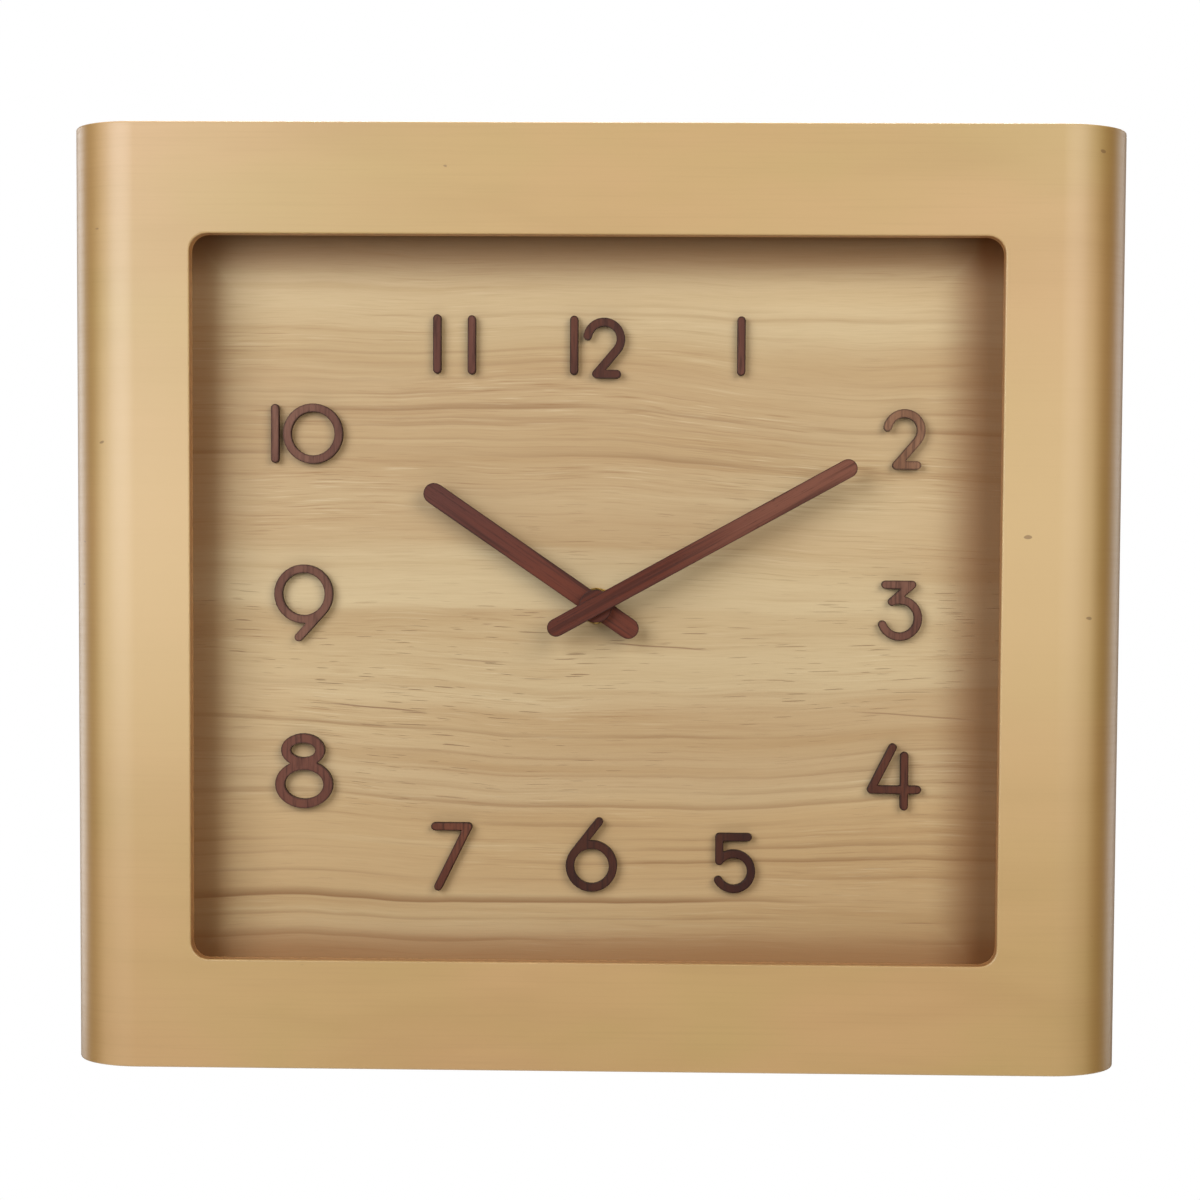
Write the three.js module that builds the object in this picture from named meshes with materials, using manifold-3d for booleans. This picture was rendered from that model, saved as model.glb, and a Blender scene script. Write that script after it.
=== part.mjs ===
// A wooden wall clock: a bent-wood case with a deep square opening, a pine dial carrying raised
// numerals, two dark wooden hands, and a battery quartz movement with its whole wheel train.
// Millimetres, +Z up. The front faces -Y and the wall is the plane y = 0. The origin is the point
// where the wall hook carries the hanger plate.

import * as THREE from 'three';
import { mergeVertices } from 'three/addons/utils/BufferGeometryUtils.js';
import Module from 'manifold-3d';

const kernel = await Module();
kernel.setup();

// Curves are drawn with chords that stay this close to the true round.
const chordError = 0.05;

// Case
const caseWidth = 400;
const caseHeight = 356;
const caseDepth = 72;
const shellThickness = 7;
const edgeRoll = 27;
const frameSide = 47.75;
const frameTop = 41.5;
const openingCorner = 6.5;
const boardThickness = 9;
const boardInset = 5;
const boardSetback = 2;
const glueLine = 0.1;

// Forms that are one piece reach this far into each other, and cuts this far past a face.
const bite = 0.2;
const overshoot = 1;

// Dial and its spacers
const dialRecess = 22;
const dialThickness = 5;
const dialDrop = 2;
const dialPlay = 0.5;
const bushHoleClearance = 0.3;
const spacerWidth = 12;
const spacerReveal = 8;
const dialScrewInset = 30;

// Wood screws
const screwRadius = 1.3;
const screwHeadRadius = 3.2;
const screwHeadHeight = 1.8;
const screwSlot = 0.8;
const dialScrewLength = 13;
const hangerScrewLength = 12;
const pilotClearance = 0.1;

// Hanging rail and keyhole plate
const railHeight = 34;
const railThickness = 15;
const railSetback = 3.6;
const hangerWidth = 60;
const hangerHeight = 22;
const hangerThickness = 1.5;
const hangerCorner = 3;
const keyholeRadius = 4.5;
const keySlotRadius = 2.2;
const keyTravel = 7;
const keyholeDrop = 3;
const pocketRadius = 7;
const pocketDepth = 8;
const hangerScrewSpacing = 44;

// Numerals, sawn from dark wood and glued on the dial
const strokeWidth = 3.2;
const numeralThickness = 3;
const oneHeight = 22.5;
const zeroRadius = 11.5;
const outerColumn = 116;
const innerColumn = 54.6;
const topRow = 99;
const sideRow = 65;
const bottomRow = 100;
const twoArc = 6.4;
const threeArc = 7;
const fiveArc = 6.8;
const sixRadius = 9.9;
const nineRadius = 11.3;
const eightTop = { halfWidth: 8.4, halfHeight: 6.4 };
const eightBottom = { halfWidth: 11.1, halfHeight: 9.2 };
const eightStroke = 3.6;

// Hands
const minuteReading = 10.18;
const hourReading = 10;
const hourHandLag = 0.7;
const minuteHand = { length: 112.2, tail: 20.4, tipWidth: 7.1, hubWidth: 6.8, tailWidth: 6.9 };
const hourHand = { length: 79, tail: 19, tipWidth: 8.1, hubWidth: 8, tailWidth: 8 };
const handThickness = 2.2;
const hubRadius = 6.3;
const hubThickness = 2.6;
const hourHandLift = 0.5;
const handSeparation = 0.7;

// Movement housing
const movementSize = 56;
const movementDepth = 16;
const movementCorner = 3;
const housingWall = 1.2;
const housingFloor = 1.5;
const coverThickness = 1.5;
const coverPlay = 0.1;

// Hand shaft, outside to inside: bush, hour tube, minute arbor
const bushRadius = 4;
const bushFlangeRadius = 5.5;
const bushFlangeThickness = 0.6;
const bushBore = 2.2;
const hourTubeRadius = 2.1;
const hourTubeBore = 1.4;
const minuteArborRadius = 1.3;
const shaftPlay = 0.1;
const rubberWasherRadius = 9;
const rubberWasherThickness = 1;
const flatWasherRadius = 6.9;
const flatWasherThickness = 0.8;
const nutAcrossFlats = 12;
const nutHeight = 2.5;
const bushStandOut = 0.7;
const handBushWall = 0.45;
const handBushFlangeRadius = 3.3;
const handBushFlangeThickness = 0.5;
const tubeSetback = 0.2;

// Wheel train
const wheelThickness = 0.8;
const levelPitch = 1.2;
const firstLevel = 2;
const addendum = 0.72;
const dedendum = 1.15;
const pivotRadius = 0.35;
const arborRadius = 0.5;
const pivotPlay = 0.1;
const pivotDepth = 0.7;
const endShake = 0.2;
const passingClearance = 0.2;
const teeth = {
  rotorPinion: 8,
  fifthWheel: 48,
  fifthPinion: 8,
  secondsWheel: 40,
  secondsPinion: 8,
  thirdWheel: 60,
  thirdPinion: 8,
  centreWheel: 64,
  minutePinion: 12,
  motionWheel: 36,
  motionPinion: 10,
  hourWheel: 40,
  knobPinion: 12,
};
const motionDistance = 9.6;
const thirdDistance = 10.4;
const fifthDistance = 9;
const rotorDistance = 8.4;
const motionDirection = 180;
const knobDirection = 150;
const thirdDirection = 15;
const fifthDirection = 100;
const rotorDirection = 160;
const motionPostRadius = 0.6;
const motionHubRadius = 1;
const knobShaftRadius = 1.2;
const centreSeatRadius = 1;

// Rotor magnet, stator, coil and circuit board
const magnetRadius = 3;
const magnetThickness = 2.4;
const airGap = 0.5;
const statorThickness = 0.8;
const statorArm = 3.4;
const statorLower = { bottom: 7, top: 16.5 };
const coilAxis = { z: 20.5, y: 11 };
const coilSpan = { left: -20.6, right: 1 };
const coilFlangeRadius = 3;
const spoolRadius = 2;
const flangeThickness = 0.8;
const windingRadius = 2.8;
const coreWidth = 3;
const coreThickness = 0.8;
const pillarRadius = 1.2;
const boardSize = { left: 7, right: 24.4, bottom: 10, top: 24.4 };
const circuitThickness = 0.8;
const crystalRadius = 1;
const crystalLength = 6;
const crystalInset = 3;

// Middle plate and its posts
const postRadius = 2;
const postPinRadius = 1;
const postSpots = [[-22.5, 14], [22.5, 14], [22.5, -7], [-22.5, -7]];
const middlePlate = { left: -25, right: 25, bottom: -9.4, top: 25 };
const middlePlateCorner = 2;

// Setting knob
const knobRadius = 5;
const knobHeight = 3;
const knobRidges = 20;
const knobLift = 0.3;

// Battery, size AA, and its contacts
const cellRadius = 7.25;
const cellLength = 49.2;
const nubRadius = 2.75;
const nubLength = 1.3;
const bayPlay = 0.2;
const contactThickness = 0.4;
const contactWidth = 9;
const contactPlay = 0.1;

// Colours, as seen under soft daylight
const lacqueredWood = { color: 0xcbb083, roughness: 0.35, metalness: 0 };
const boardWood = { color: 0xb99a6b, roughness: 0.7, metalness: 0 };
const dialWood = { color: 0xccb087, roughness: 0.75, metalness: 0 };
const numeralWood = { color: 0x6e4a40, roughness: 0.6, metalness: 0 };
const handWood = { color: 0x65382c, roughness: 0.5, metalness: 0 };
const brass = { color: 0xc9a557, roughness: 0.3, metalness: 1 };
const steel = { color: 0xb9bcc0, roughness: 0.35, metalness: 1 };
const blackPlastic = { color: 0x1c1c1e, roughness: 0.6, metalness: 0 };
const whitePlastic = { color: 0xe6e3da, roughness: 0.5, metalness: 0 };
const rubber = { color: 0x2a2a2a, roughness: 0.9, metalness: 0 };
const circuitGreen = { color: 0x2f5b3a, roughness: 0.5, metalness: 0 };
const copper = { color: 0xb4683a, roughness: 0.4, metalness: 1 };
const magnetGrey = { color: 0x55565a, roughness: 0.5, metalness: 0.6 };
const cellJacket = { color: 0x3b4350, roughness: 0.35, metalness: 0.2 };

// Places that follow from the sizes
const halfWidth = caseWidth / 2;
const halfHeight = caseHeight / 2;
const halfOpening = { x: halfWidth - frameSide, z: halfHeight - frameTop };
const frontBack = shellThickness - caseDepth;
const dialFace = dialRecess - caseDepth;
const dialBack = dialFace + dialThickness;
const innerRoll = edgeRoll - shellThickness;
const boardFace = halfHeight - boardInset - boardThickness - glueLine;
const railMiddle = boardFace - railHeight / 2;
const hookHeight = railMiddle - keyholeDrop + keyTravel;
const movementFront = dialBack + rubberWasherThickness + 2 * glueLine;

const degrees = THREE.MathUtils.degToRad;

// A closed geometry as a body that can be joined and cut.
function bodyFrom(geometry) {
  const bare = geometry.clone();
  bare.deleteAttribute('normal');
  bare.deleteAttribute('uv');
  const merged = mergeVertices(bare, 1e-5);
  const corners = merged.index.array;
  const kept = [];
  for (let i = 0; i < corners.length; i += 3) {
    const [a, b, c] = [corners[i], corners[i + 1], corners[i + 2]];
    if (a !== b && b !== c && c !== a) kept.push(a, b, c);
  }
  return new kernel.Manifold(new kernel.Mesh({
    numProp: 3,
    vertProperties: new Float32Array(merged.attributes.position.array),
    triVerts: new Uint32Array(kept),
  }));
}

function geometryFrom(body) {
  const { vertProperties, triVerts } = body.getMesh();
  const geometry = new THREE.BufferGeometry();
  geometry.setAttribute('position', new THREE.BufferAttribute(vertProperties, 3));
  geometry.setIndex(new THREE.BufferAttribute(triVerts, 1));
  const faceted = geometry.toNonIndexed();
  faceted.computeVertexNormals();
  return faceted;
}

function addPiece(parent, name, body, finish) {
  const mesh = new THREE.Mesh(geometryFrom(body), new THREE.MeshStandardMaterial(finish));
  mesh.name = name;
  parent.add(mesh);
  return mesh;
}

function join(bodies) {
  return bodies.reduce((whole, next) => whole.add(next));
}

function cut(body, tools) {
  return tools.reduce((rest, tool) => rest.subtract(tool), body);
}

// The number of chords that draw a round stretch of the given angle.
function chordsFor(radius, angle) {
  const widest = 2 * Math.acos(1 - Math.min(chordError / radius, 0.15));
  return Math.max(2, Math.ceil(Math.abs(angle) / widest));
}

function arc(centre, radius, start, end) {
  const steps = chordsFor(radius, end - start);
  return Array.from({ length: steps + 1 }, (_, i) => {
    const angle = start + (end - start) * i / steps;
    return new THREE.Vector2(
      centre[0] + radius * Math.cos(angle),
      centre[1] + radius * Math.sin(angle),
    );
  });
}

function outline(...stretches) {
  const points = stretches.flatMap((stretch) => (
    Array.isArray(stretch[0]) ? stretch.map(([x, y]) => new THREE.Vector2(x, y)) : stretch
  ));
  const [first, last] = [points[0], points[points.length - 1]];
  if (first.distanceTo(last) < 1e-6) points.pop();
  return new THREE.Shape(points);
}

// A plate whose outline is drawn as seen from the front, x to the right and z up.
function plate(shape, front, back) {
  const geometry = new THREE.ExtrudeGeometry(shape, { depth: back - front, bevelEnabled: false });
  geometry.rotateX(Math.PI / 2);
  geometry.translate(0, back, 0);
  return bodyFrom(geometry);
}

function rectangle(left, right, bottom, top, radius = 0) {
  if (radius === 0) return outline([[left, bottom], [right, bottom], [right, top], [left, top]]);
  const quarter = Math.PI / 2;
  const [x0, x1, z0, z1] = [left + radius, right - radius, bottom + radius, top - radius];
  return outline(
    arc([x1, z0], radius, -quarter, 0),
    arc([x1, z1], radius, 0, quarter),
    arc([x0, z1], radius, quarter, 2 * quarter),
    arc([x0, z0], radius, 2 * quarter, 3 * quarter),
  );
}

function slab(left, right, front, back, bottom, top, radius = 0) {
  return plate(rectangle(left, right, bottom, top, radius), front, back);
}

// A round bar along Y, standing at the given spot of the front view.
function rod(radius, front, back, spot = [0, 0]) {
  const sides = Math.max(12, chordsFor(radius, 2 * Math.PI));
  const geometry = new THREE.CylinderGeometry(radius, radius, back - front, sides);
  geometry.translate(spot[0], (front + back) / 2, spot[1]);
  return bodyFrom(geometry);
}

// A round bar along X.
function crossbar(radius, left, right, y, z) {
  const sides = chordsFor(radius, 2 * Math.PI);
  const geometry = new THREE.CylinderGeometry(radius, radius, right - left, sides);
  geometry.rotateZ(Math.PI / 2);
  geometry.translate((left + right) / 2, y, z);
  return bodyFrom(geometry);
}

function ring(radius, bore, front, back) {
  return rod(radius, front, back).subtract(rod(bore, front - overshoot, back + overshoot));
}

function fromCentre(distance, direction, centre = [0, 0]) {
  const angle = degrees(direction);
  return [centre[0] + distance * Math.cos(angle), centre[1] + distance * Math.sin(angle)];
}

// A sheet drawn in the plan view and standing from the height bottom to top.
function upright(shape, bottom, top) {
  const geometry = new THREE.ExtrudeGeometry(shape, { depth: top - bottom, bevelEnabled: false });
  geometry.translate(0, 0, bottom);
  return bodyFrom(geometry);
}

// The case's two rounded front corners in the plan view, from the left to the right one.
function bentCorners(radius) {
  const side = halfWidth - edgeRoll;
  const bend = edgeRoll - caseDepth;
  return [
    ...arc([-side, bend], radius, Math.PI, 1.5 * Math.PI),
    ...arc([side, bend], radius, 1.5 * Math.PI, 2 * Math.PI),
  ];
}

// Case shell: one bent sheet that runs from the rear of one side, round the front, to the other.
function shellSheet() {
  const inner = halfWidth - shellThickness;
  const section = outline(
    bentCorners(edgeRoll),
    [[halfWidth, 0], [inner, 0]],
    bentCorners(innerRoll).reverse(),
    [[-inner, 0], [-halfWidth, 0]],
  );
  return upright(section, -halfHeight, halfHeight);
}

function openingCut() {
  const { x, z } = halfOpening;
  return slab(-x, x, -caseDepth - overshoot, frontBack + overshoot, -z, z, openingCorner);
}

// Top and bottom boards fit inside the bent shell, with the shell's inner bend at their corners.
function endBoard(bottom) {
  const corner = innerRoll - glueLine;
  const reach = halfWidth - edgeRoll + corner;
  const section = outline(bentCorners(corner), [[reach, -boardSetback], [-reach, -boardSetback]]);
  return upright(section, bottom, bottom + boardThickness);
}

// Half the clear width between the shell's sides at the depth y, where the bend may narrow it.
function innerHalfWidth(y) {
  const intoBend = Math.max(0, edgeRoll - caseDepth - y);
  return halfWidth - edgeRoll + Math.sqrt(innerRoll ** 2 - intoBend ** 2);
}

const screwColumn = halfOpening.x + spacerReveal + spacerWidth / 2;
const screwRow = boardFace - dialScrewInset;
const dialScrewSpots = [
  ['upper_left', -screwColumn, screwRow],
  ['upper_right', screwColumn, screwRow],
  ['lower_left', -screwColumn, -screwRow],
  ['lower_right', screwColumn, -screwRow],
];

function pilotHoles(front, back, radius = screwRadius + pilotClearance) {
  return dialScrewSpots.map(([, x, z]) => rod(radius, front, back, [x, z]));
}

function addSpacers(clock) {
  const front = frontBack + glueLine;
  const back = dialFace - glueLine;
  const inner = halfOpening.x + spacerReveal;
  const outer = inner + spacerWidth;
  const low = halfOpening.z + spacerReveal;
  const high = low + spacerWidth;
  const reach = inner - glueLine;
  const holes = pilotHoles(front - overshoot, back + overshoot);
  const left = slab(-outer, -inner, front, back, -boardFace, boardFace);
  const right = slab(inner, outer, front, back, -boardFace, boardFace);
  addPiece(clock, 'spacer_left', cut(left, holes), boardWood);
  addPiece(clock, 'spacer_right', cut(right, holes), boardWood);
  addPiece(clock, 'spacer_top', slab(-reach, reach, front, back, low, high), boardWood);
  addPiece(clock, 'spacer_bottom', slab(-reach, reach, front, back, -high, -low), boardWood);
}

function dialPanel() {
  const x = innerHalfWidth(dialFace) - dialPlay;
  const z = boardFace - dialPlay;
  const [front, back] = [dialFace - overshoot, dialBack + overshoot];
  const bushHole = rod(bushRadius + bushHoleClearance, front, back, [0, -dialDrop]);
  const holes = pilotHoles(front, back);
  return cut(slab(-x, x, dialFace, dialBack, -z, z), [bushHole, ...holes]);
}

// A slotted wood screw driven toward -Y, its head's seat at y = seat.
function woodScrew(seat, length, spot) {
  const head = rod(screwHeadRadius, seat, seat + screwHeadHeight, spot);
  const shank = rod(screwRadius, seat - length, seat + bite, spot);
  const [x, z] = spot;
  const slotFloor = seat + screwHeadHeight / 2;
  const slot = slab(
    x - screwHeadRadius - overshoot, x + screwHeadRadius + overshoot,
    slotFloor, seat + screwHeadHeight + overshoot,
    z - screwSlot / 2, z + screwSlot / 2,
  );
  return head.add(shank).subtract(slot);
}

// Keyhole: a round entry hole below a narrow slot, whose upper end hangs on the hook.
function keyhole(entryRadius, slotRadius, front, back) {
  const entry = [0, railMiddle - keyholeDrop];
  const seat = [0, entry[1] + keyTravel];
  const slot = slab(-slotRadius, slotRadius, front, back, entry[1], seat[1]);
  return join([rod(entryRadius, front, back, entry), rod(slotRadius, front, back, seat), slot]);
}

function addHanger(clock) {
  const back = -railSetback;
  const front = back - railThickness;
  const reach = halfWidth - shellThickness - glueLine;
  const screwSpots = [
    ['hanger_screw_left', [-hangerScrewSpacing / 2, railMiddle]],
    ['hanger_screw_right', [hangerScrewSpacing / 2, railMiddle]],
  ];
  const pilots = screwSpots.map(([, spot]) => (
    rod(screwRadius + pilotClearance, front - overshoot, overshoot, spot)
  ));
  const pocket = keyhole(pocketRadius, pocketRadius, back - pocketDepth, back + overshoot);
  const rail = slab(-reach, reach, front, back, boardFace - railHeight - glueLine, boardFace - glueLine);
  addPiece(clock, 'hanging_rail', cut(rail, [pocket, ...pilots]), boardWood);

  const seat = back + glueLine;
  const plateBack = seat + hangerThickness;
  const [x, z] = [hangerWidth / 2, hangerHeight / 2];
  const sheet = slab(-x, x, seat, plateBack, railMiddle - z, railMiddle + z, hangerCorner);
  const hole = keyhole(keyholeRadius, keySlotRadius, seat - overshoot, plateBack + overshoot);
  addPiece(clock, 'hanger_plate', cut(sheet, [hole, ...pilots]), steel);
  for (const [name, spot] of screwSpots) {
    addPiece(clock, name, woodScrew(plateBack + glueLine / 2, hangerScrewLength, spot), steel);
  }
}

// Numeral strokes have round ends and are drawn from the dial's centre, x right and z up.
function strokeBody(shape) {
  const back = dialFace - glueLine;
  return plate(shape, back - numeralThickness, back);
}

function straightStroke(from, to) {
  const angle = Math.atan2(to[1] - from[1], to[0] - from[0]);
  const quarter = Math.PI / 2;
  return strokeBody(outline(
    arc(to, strokeWidth / 2, angle - quarter, angle + quarter),
    arc(from, strokeWidth / 2, angle + quarter, angle + 3 * quarter),
  ));
}

function curvedStroke(centre, radius, startDegrees, endDegrees) {
  const [start, end] = [degrees(startDegrees), degrees(endDegrees)];
  const half = strokeWidth / 2;
  return strokeBody(outline(
    arc(centre, radius + half, start, end),
    arc(fromCentre(radius, endDegrees, centre), half, end, end + Math.PI),
    arc(centre, radius - half, end, start),
    arc(fromCentre(radius, startDegrees, centre), half, start + Math.PI, start + 2 * Math.PI),
  ));
}

function oval(centre, halfAcross, halfUp) {
  const round = arc([0, 0], halfAcross, 0, 2 * Math.PI);
  return outline(round.map(({ x, y }) => (
    new THREE.Vector2(centre[0] + x, centre[1] + y * halfUp / halfAcross)
  )));
}

// A closed stroke, round or squashed, of one width all the way round.
function ringStroke(centre, halfAcross, halfUp, width = strokeWidth) {
  const back = dialFace - glueLine;
  const hole = plate(
    oval(centre, halfAcross - width, halfUp - width),
    back - numeralThickness - overshoot, back + overshoot,
  );
  return strokeBody(oval(centre, halfAcross, halfUp)).subtract(hole);
}

// The direction, in degrees, of the point where a line from the outside point meets the circle.
function tangentDirection(centre, radius, outside, turn) {
  const [dx, dz] = [outside[0] - centre[0], outside[1] - centre[1]];
  const spread = Math.acos(radius / Math.hypot(dx, dz));
  return THREE.MathUtils.radToDeg(Math.atan2(dz, dx) + turn * spread);
}

const offset = (point, x, z) => [point[0] + x, point[1] + z];

function one(centre) {
  const reach = (oneHeight - strokeWidth) / 2;
  return straightStroke(offset(centre, 0, -reach), offset(centre, 0, reach));
}

function zero(centre) {
  return ringStroke(centre, zeroRadius, zeroRadius);
}

function two(arcCentre) {
  const foot = offset(arcCentre, -2.9, -13.3);
  const direction = tangentDirection(arcCentre, twoArc, foot, 1);
  return join([
    curvedStroke(arcCentre, twoArc, direction, 170),
    straightStroke(fromCentre(twoArc, direction, arcCentre), foot),
    straightStroke(foot, offset(foot, 7.8, 0)),
  ]);
}

function three(arcCentre) {
  const corner = offset(arcCentre, 4.6, 12.8);
  return join([
    straightStroke(offset(corner, -10.1, 0), corner),
    straightStroke(corner, fromCentre(threeArc, 115, arcCentre)),
    curvedStroke(arcCentre, threeArc, -160, 115),
  ]);
}

function four(barLeft) {
  return join([
    straightStroke(barLeft, offset(barLeft, 8.1, 16.2)),
    straightStroke(barLeft, offset(barLeft, 17.6, 0)),
    straightStroke(offset(barLeft, 12.6, 13), offset(barLeft, 12.6, -6.4)),
  ]);
}

function five(arcCentre) {
  const shoulder = fromCentre(fiveArc, 144, arcCentre);
  const corner = offset(shoulder, 0, 9.2);
  return join([
    straightStroke(corner, offset(corner, 10.9, 0)),
    straightStroke(corner, shoulder),
    curvedStroke(arcCentre, fiveArc, -150, 144),
  ]);
}

function six(centre) {
  const middle = sixRadius - strokeWidth / 2;
  const tip = offset(centre, 2.8, 17.1);
  const direction = tangentDirection(centre, middle, tip, 1);
  return ringStroke(centre, sixRadius, sixRadius)
    .add(straightStroke(fromCentre(middle, direction, centre), tip));
}

function seven(corner) {
  return straightStroke(offset(corner, -12.7, 0), corner)
    .add(straightStroke(corner, offset(corner, -11.5, -23.3)));
}

function eight(waist) {
  const overlap = eightStroke / 2;
  const top = offset(waist, -0.4, eightTop.halfHeight - overlap + 0.6);
  const bottom = offset(waist, 0, overlap - 0.6 - eightBottom.halfHeight);
  return ringStroke(top, eightTop.halfWidth, eightTop.halfHeight, eightStroke)
    .add(ringStroke(bottom, eightBottom.halfWidth, eightBottom.halfHeight, eightStroke));
}

function nine(centre) {
  const middle = nineRadius - strokeWidth / 2;
  const tip = offset(centre, -1.9, -16.6);
  const direction = tangentDirection(centre, middle, tip, 1);
  return ringStroke(centre, nineRadius, nineRadius)
    .add(straightStroke(fromCentre(middle, direction, centre), tip));
}

// The numerals stand on a rounded square, so each has its own place from the dial's centre.
function addNumerals(dial) {
  const numerals = {
    numeral_1: one([innerColumn, topRow]),
    numeral_2: two([outerColumn + 0.8, sideRow + 2.5]),
    numeral_3: three([outerColumn - 0.2, -4]),
    numeral_4: four([outerColumn - 10.4, -sideRow - 4.6]),
    numeral_5: five([innerColumn - 1.4, -bottomRow - 1.6]),
    numeral_6: six([-1.4, -bottomRow]),
    numeral_7: seven([5.7 - innerColumn, 14.8 - bottomRow]),
    numeral_8: eight([3.8 - outerColumn, 3.6 - sideRow]),
    numeral_9: nine([3.7 - outerColumn, 3.8]),
    numeral_10_one: one([-outerColumn - 7.2, sideRow]),
    numeral_10_zero: zero([7.3 - outerColumn, sideRow]),
    numeral_11_left: one([-innerColumn - 6.6, topRow + 0.3]),
    numeral_11_right: one([6.6 - innerColumn, topRow]),
    numeral_12_one: one([-9, topRow]),
    numeral_12_two: two([2.4, topRow + 2.5]),
  };
  for (const [name, body] of Object.entries(numerals)) addPiece(dial, name, body, numeralWood);
}

// Levels of the movement, measured from the housing's front face toward the wall. The hour
// wheel runs at level 0, the motion wheel at 1, the centre wheel at 2, the third wheel at 3, the
// middle plate lies at 4, the seconds wheel runs at 5, the fifth wheel at 6, the magnet at 7.
const levelFront = (level) => firstLevel + level * levelPitch;
const levelBack = (level) => levelFront(level) + wheelThickness;
const coverInner = movementDepth - coverThickness;
const arborEnd = coverInner - passingClearance;

// Axes of the wheel train in the front view, from the main axis.
const mainAxis = [0, 0];
const motionAxis = fromCentre(motionDistance, motionDirection);
const knobAxis = fromCentre(motionDistance, knobDirection, motionAxis);
const thirdAxis = fromCentre(thirdDistance, thirdDirection);
const fifthAxis = fromCentre(fifthDistance, fifthDirection);
const rotorAxis = fromCentre(rotorDistance, rotorDirection, fifthAxis);

const gearModule = (distance, first, second) => 2 * distance / (first + second);

// The angle of one tooth of a gear that meshes with a driver lying in the given direction from
// it, worked out from the angle of one of the driver's teeth.
function meshedTooth(driverTooth, driverTeeth, directionDegrees, ownTeeth) {
  const outward = degrees(directionDegrees);
  const driverPitch = 2 * Math.PI / driverTeeth;
  const ownPitch = 2 * Math.PI / ownTeeth;
  const shift = (driverTooth - outward) / driverPitch;
  return outward + Math.PI - shift * ownPitch + ownPitch / 2;
}

// A gear's outline: straight-sided teeth, narrow enough to leave a free running backlash.
function gearShape(toothCount, module, firstTooth, axis) {
  const tip = module * (toothCount / 2 + addendum);
  const root = module * (toothCount / 2 - dedendum);
  const pitch = 2 * Math.PI / toothCount;
  const corners = [[-0.3, root], [-0.11, tip], [0.11, tip], [0.3, root]];
  const points = [];
  for (let i = 0; i < toothCount; i += 1) {
    for (const [across, radius] of corners) {
      const angle = firstTooth + (i + across) * pitch;
      points.push(new THREE.Vector2(
        axis[0] + radius * Math.cos(angle),
        axis[1] + radius * Math.sin(angle),
      ));
    }
  }
  return new THREE.Shape(points);
}

function gear(toothCount, module, firstTooth, level, axis) {
  const shape = gearShape(toothCount, module, firstTooth, axis);
  return plate(shape, levelFront(level), levelBack(level));
}

const motionModule = gearModule(motionDistance, teeth.minutePinion, teeth.motionWheel);
const hourModule = gearModule(motionDistance, teeth.motionPinion, teeth.hourWheel);
const centreModule = gearModule(thirdDistance, teeth.thirdPinion, teeth.centreWheel);
const thirdModule = gearModule(thirdDistance, teeth.secondsPinion, teeth.thirdWheel);
const secondsModule = gearModule(fifthDistance, teeth.fifthPinion, teeth.secondsWheel);
const fifthModule = gearModule(rotorDistance, teeth.rotorPinion, teeth.fifthWheel);

// Each meshing pair is phased from the gear that drives it.
const tooth = {};
tooth.minutePinion = 0;
tooth.motionWheel = meshedTooth(
  tooth.minutePinion, teeth.minutePinion, motionDirection, teeth.motionWheel,
);
tooth.knobPinion = meshedTooth(
  tooth.motionWheel, teeth.motionWheel, knobDirection, teeth.knobPinion,
);
tooth.motionPinion = 0;
tooth.hourWheel = meshedTooth(
  tooth.motionPinion, teeth.motionPinion, motionDirection + 180, teeth.hourWheel,
);
tooth.fifthWheel = 0;
tooth.rotorPinion = meshedTooth(
  tooth.fifthWheel, teeth.fifthWheel, rotorDirection, teeth.rotorPinion,
);
tooth.fifthPinion = 0;
tooth.secondsWheel = meshedTooth(
  tooth.fifthPinion, teeth.fifthPinion, fifthDirection + 180, teeth.secondsWheel,
);
tooth.secondsPinion = 0;
tooth.thirdWheel = meshedTooth(
  tooth.secondsPinion, teeth.secondsPinion, thirdDirection, teeth.thirdWheel,
);
tooth.thirdPinion = 0;
tooth.centreWheel = meshedTooth(
  tooth.thirdPinion, teeth.thirdPinion, thirdDirection + 180, teeth.centreWheel,
);

// An arbor with a thin pivot at each end that turns in a blind hole.
function arbor(axis, frontPivot, front, back, backPivot) {
  return join([
    rod(pivotRadius, frontPivot, front + bite, axis),
    rod(arborRadius, front, back, axis),
    rod(pivotRadius, back - bite, backPivot, axis),
  ]);
}

const coverPivot = coverInner + pivotDepth;
const pivotHole = (axis, front, back) => rod(pivotRadius + pivotPlay, front, back, axis);
const middleFront = levelFront(4);
const middleBack = levelBack(4);

// Front stack of the hand shaft, from the dial outward.
const dialSeat = -rubberWasherThickness - 2 * glueLine - dialThickness;
const washerBack = dialSeat - glueLine;
const nutBack = washerBack - flatWasherThickness - glueLine;
const bushFront = nutBack - nutHeight - bushStandOut;
const hourFlangeBack = bushFront - hourHandLift;
const hourHandBack = hourFlangeBack - handBushFlangeThickness - glueLine / 2;
const hourHandFront = hourHandBack - handThickness;
const hubBack = hourHandFront - handSeparation;
const hubFront = hubBack - hubThickness;
const minuteHandBack = hubFront - glueLine;

// Housing: the deep front half of the case, with the battery bay walled off below the train.
const half = movementSize / 2;
const inside = half - housingWall;
const bayTop = 2 * (cellRadius + bayPlay) - inside;
const housingRim = coverInner - coverPlay;

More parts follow.
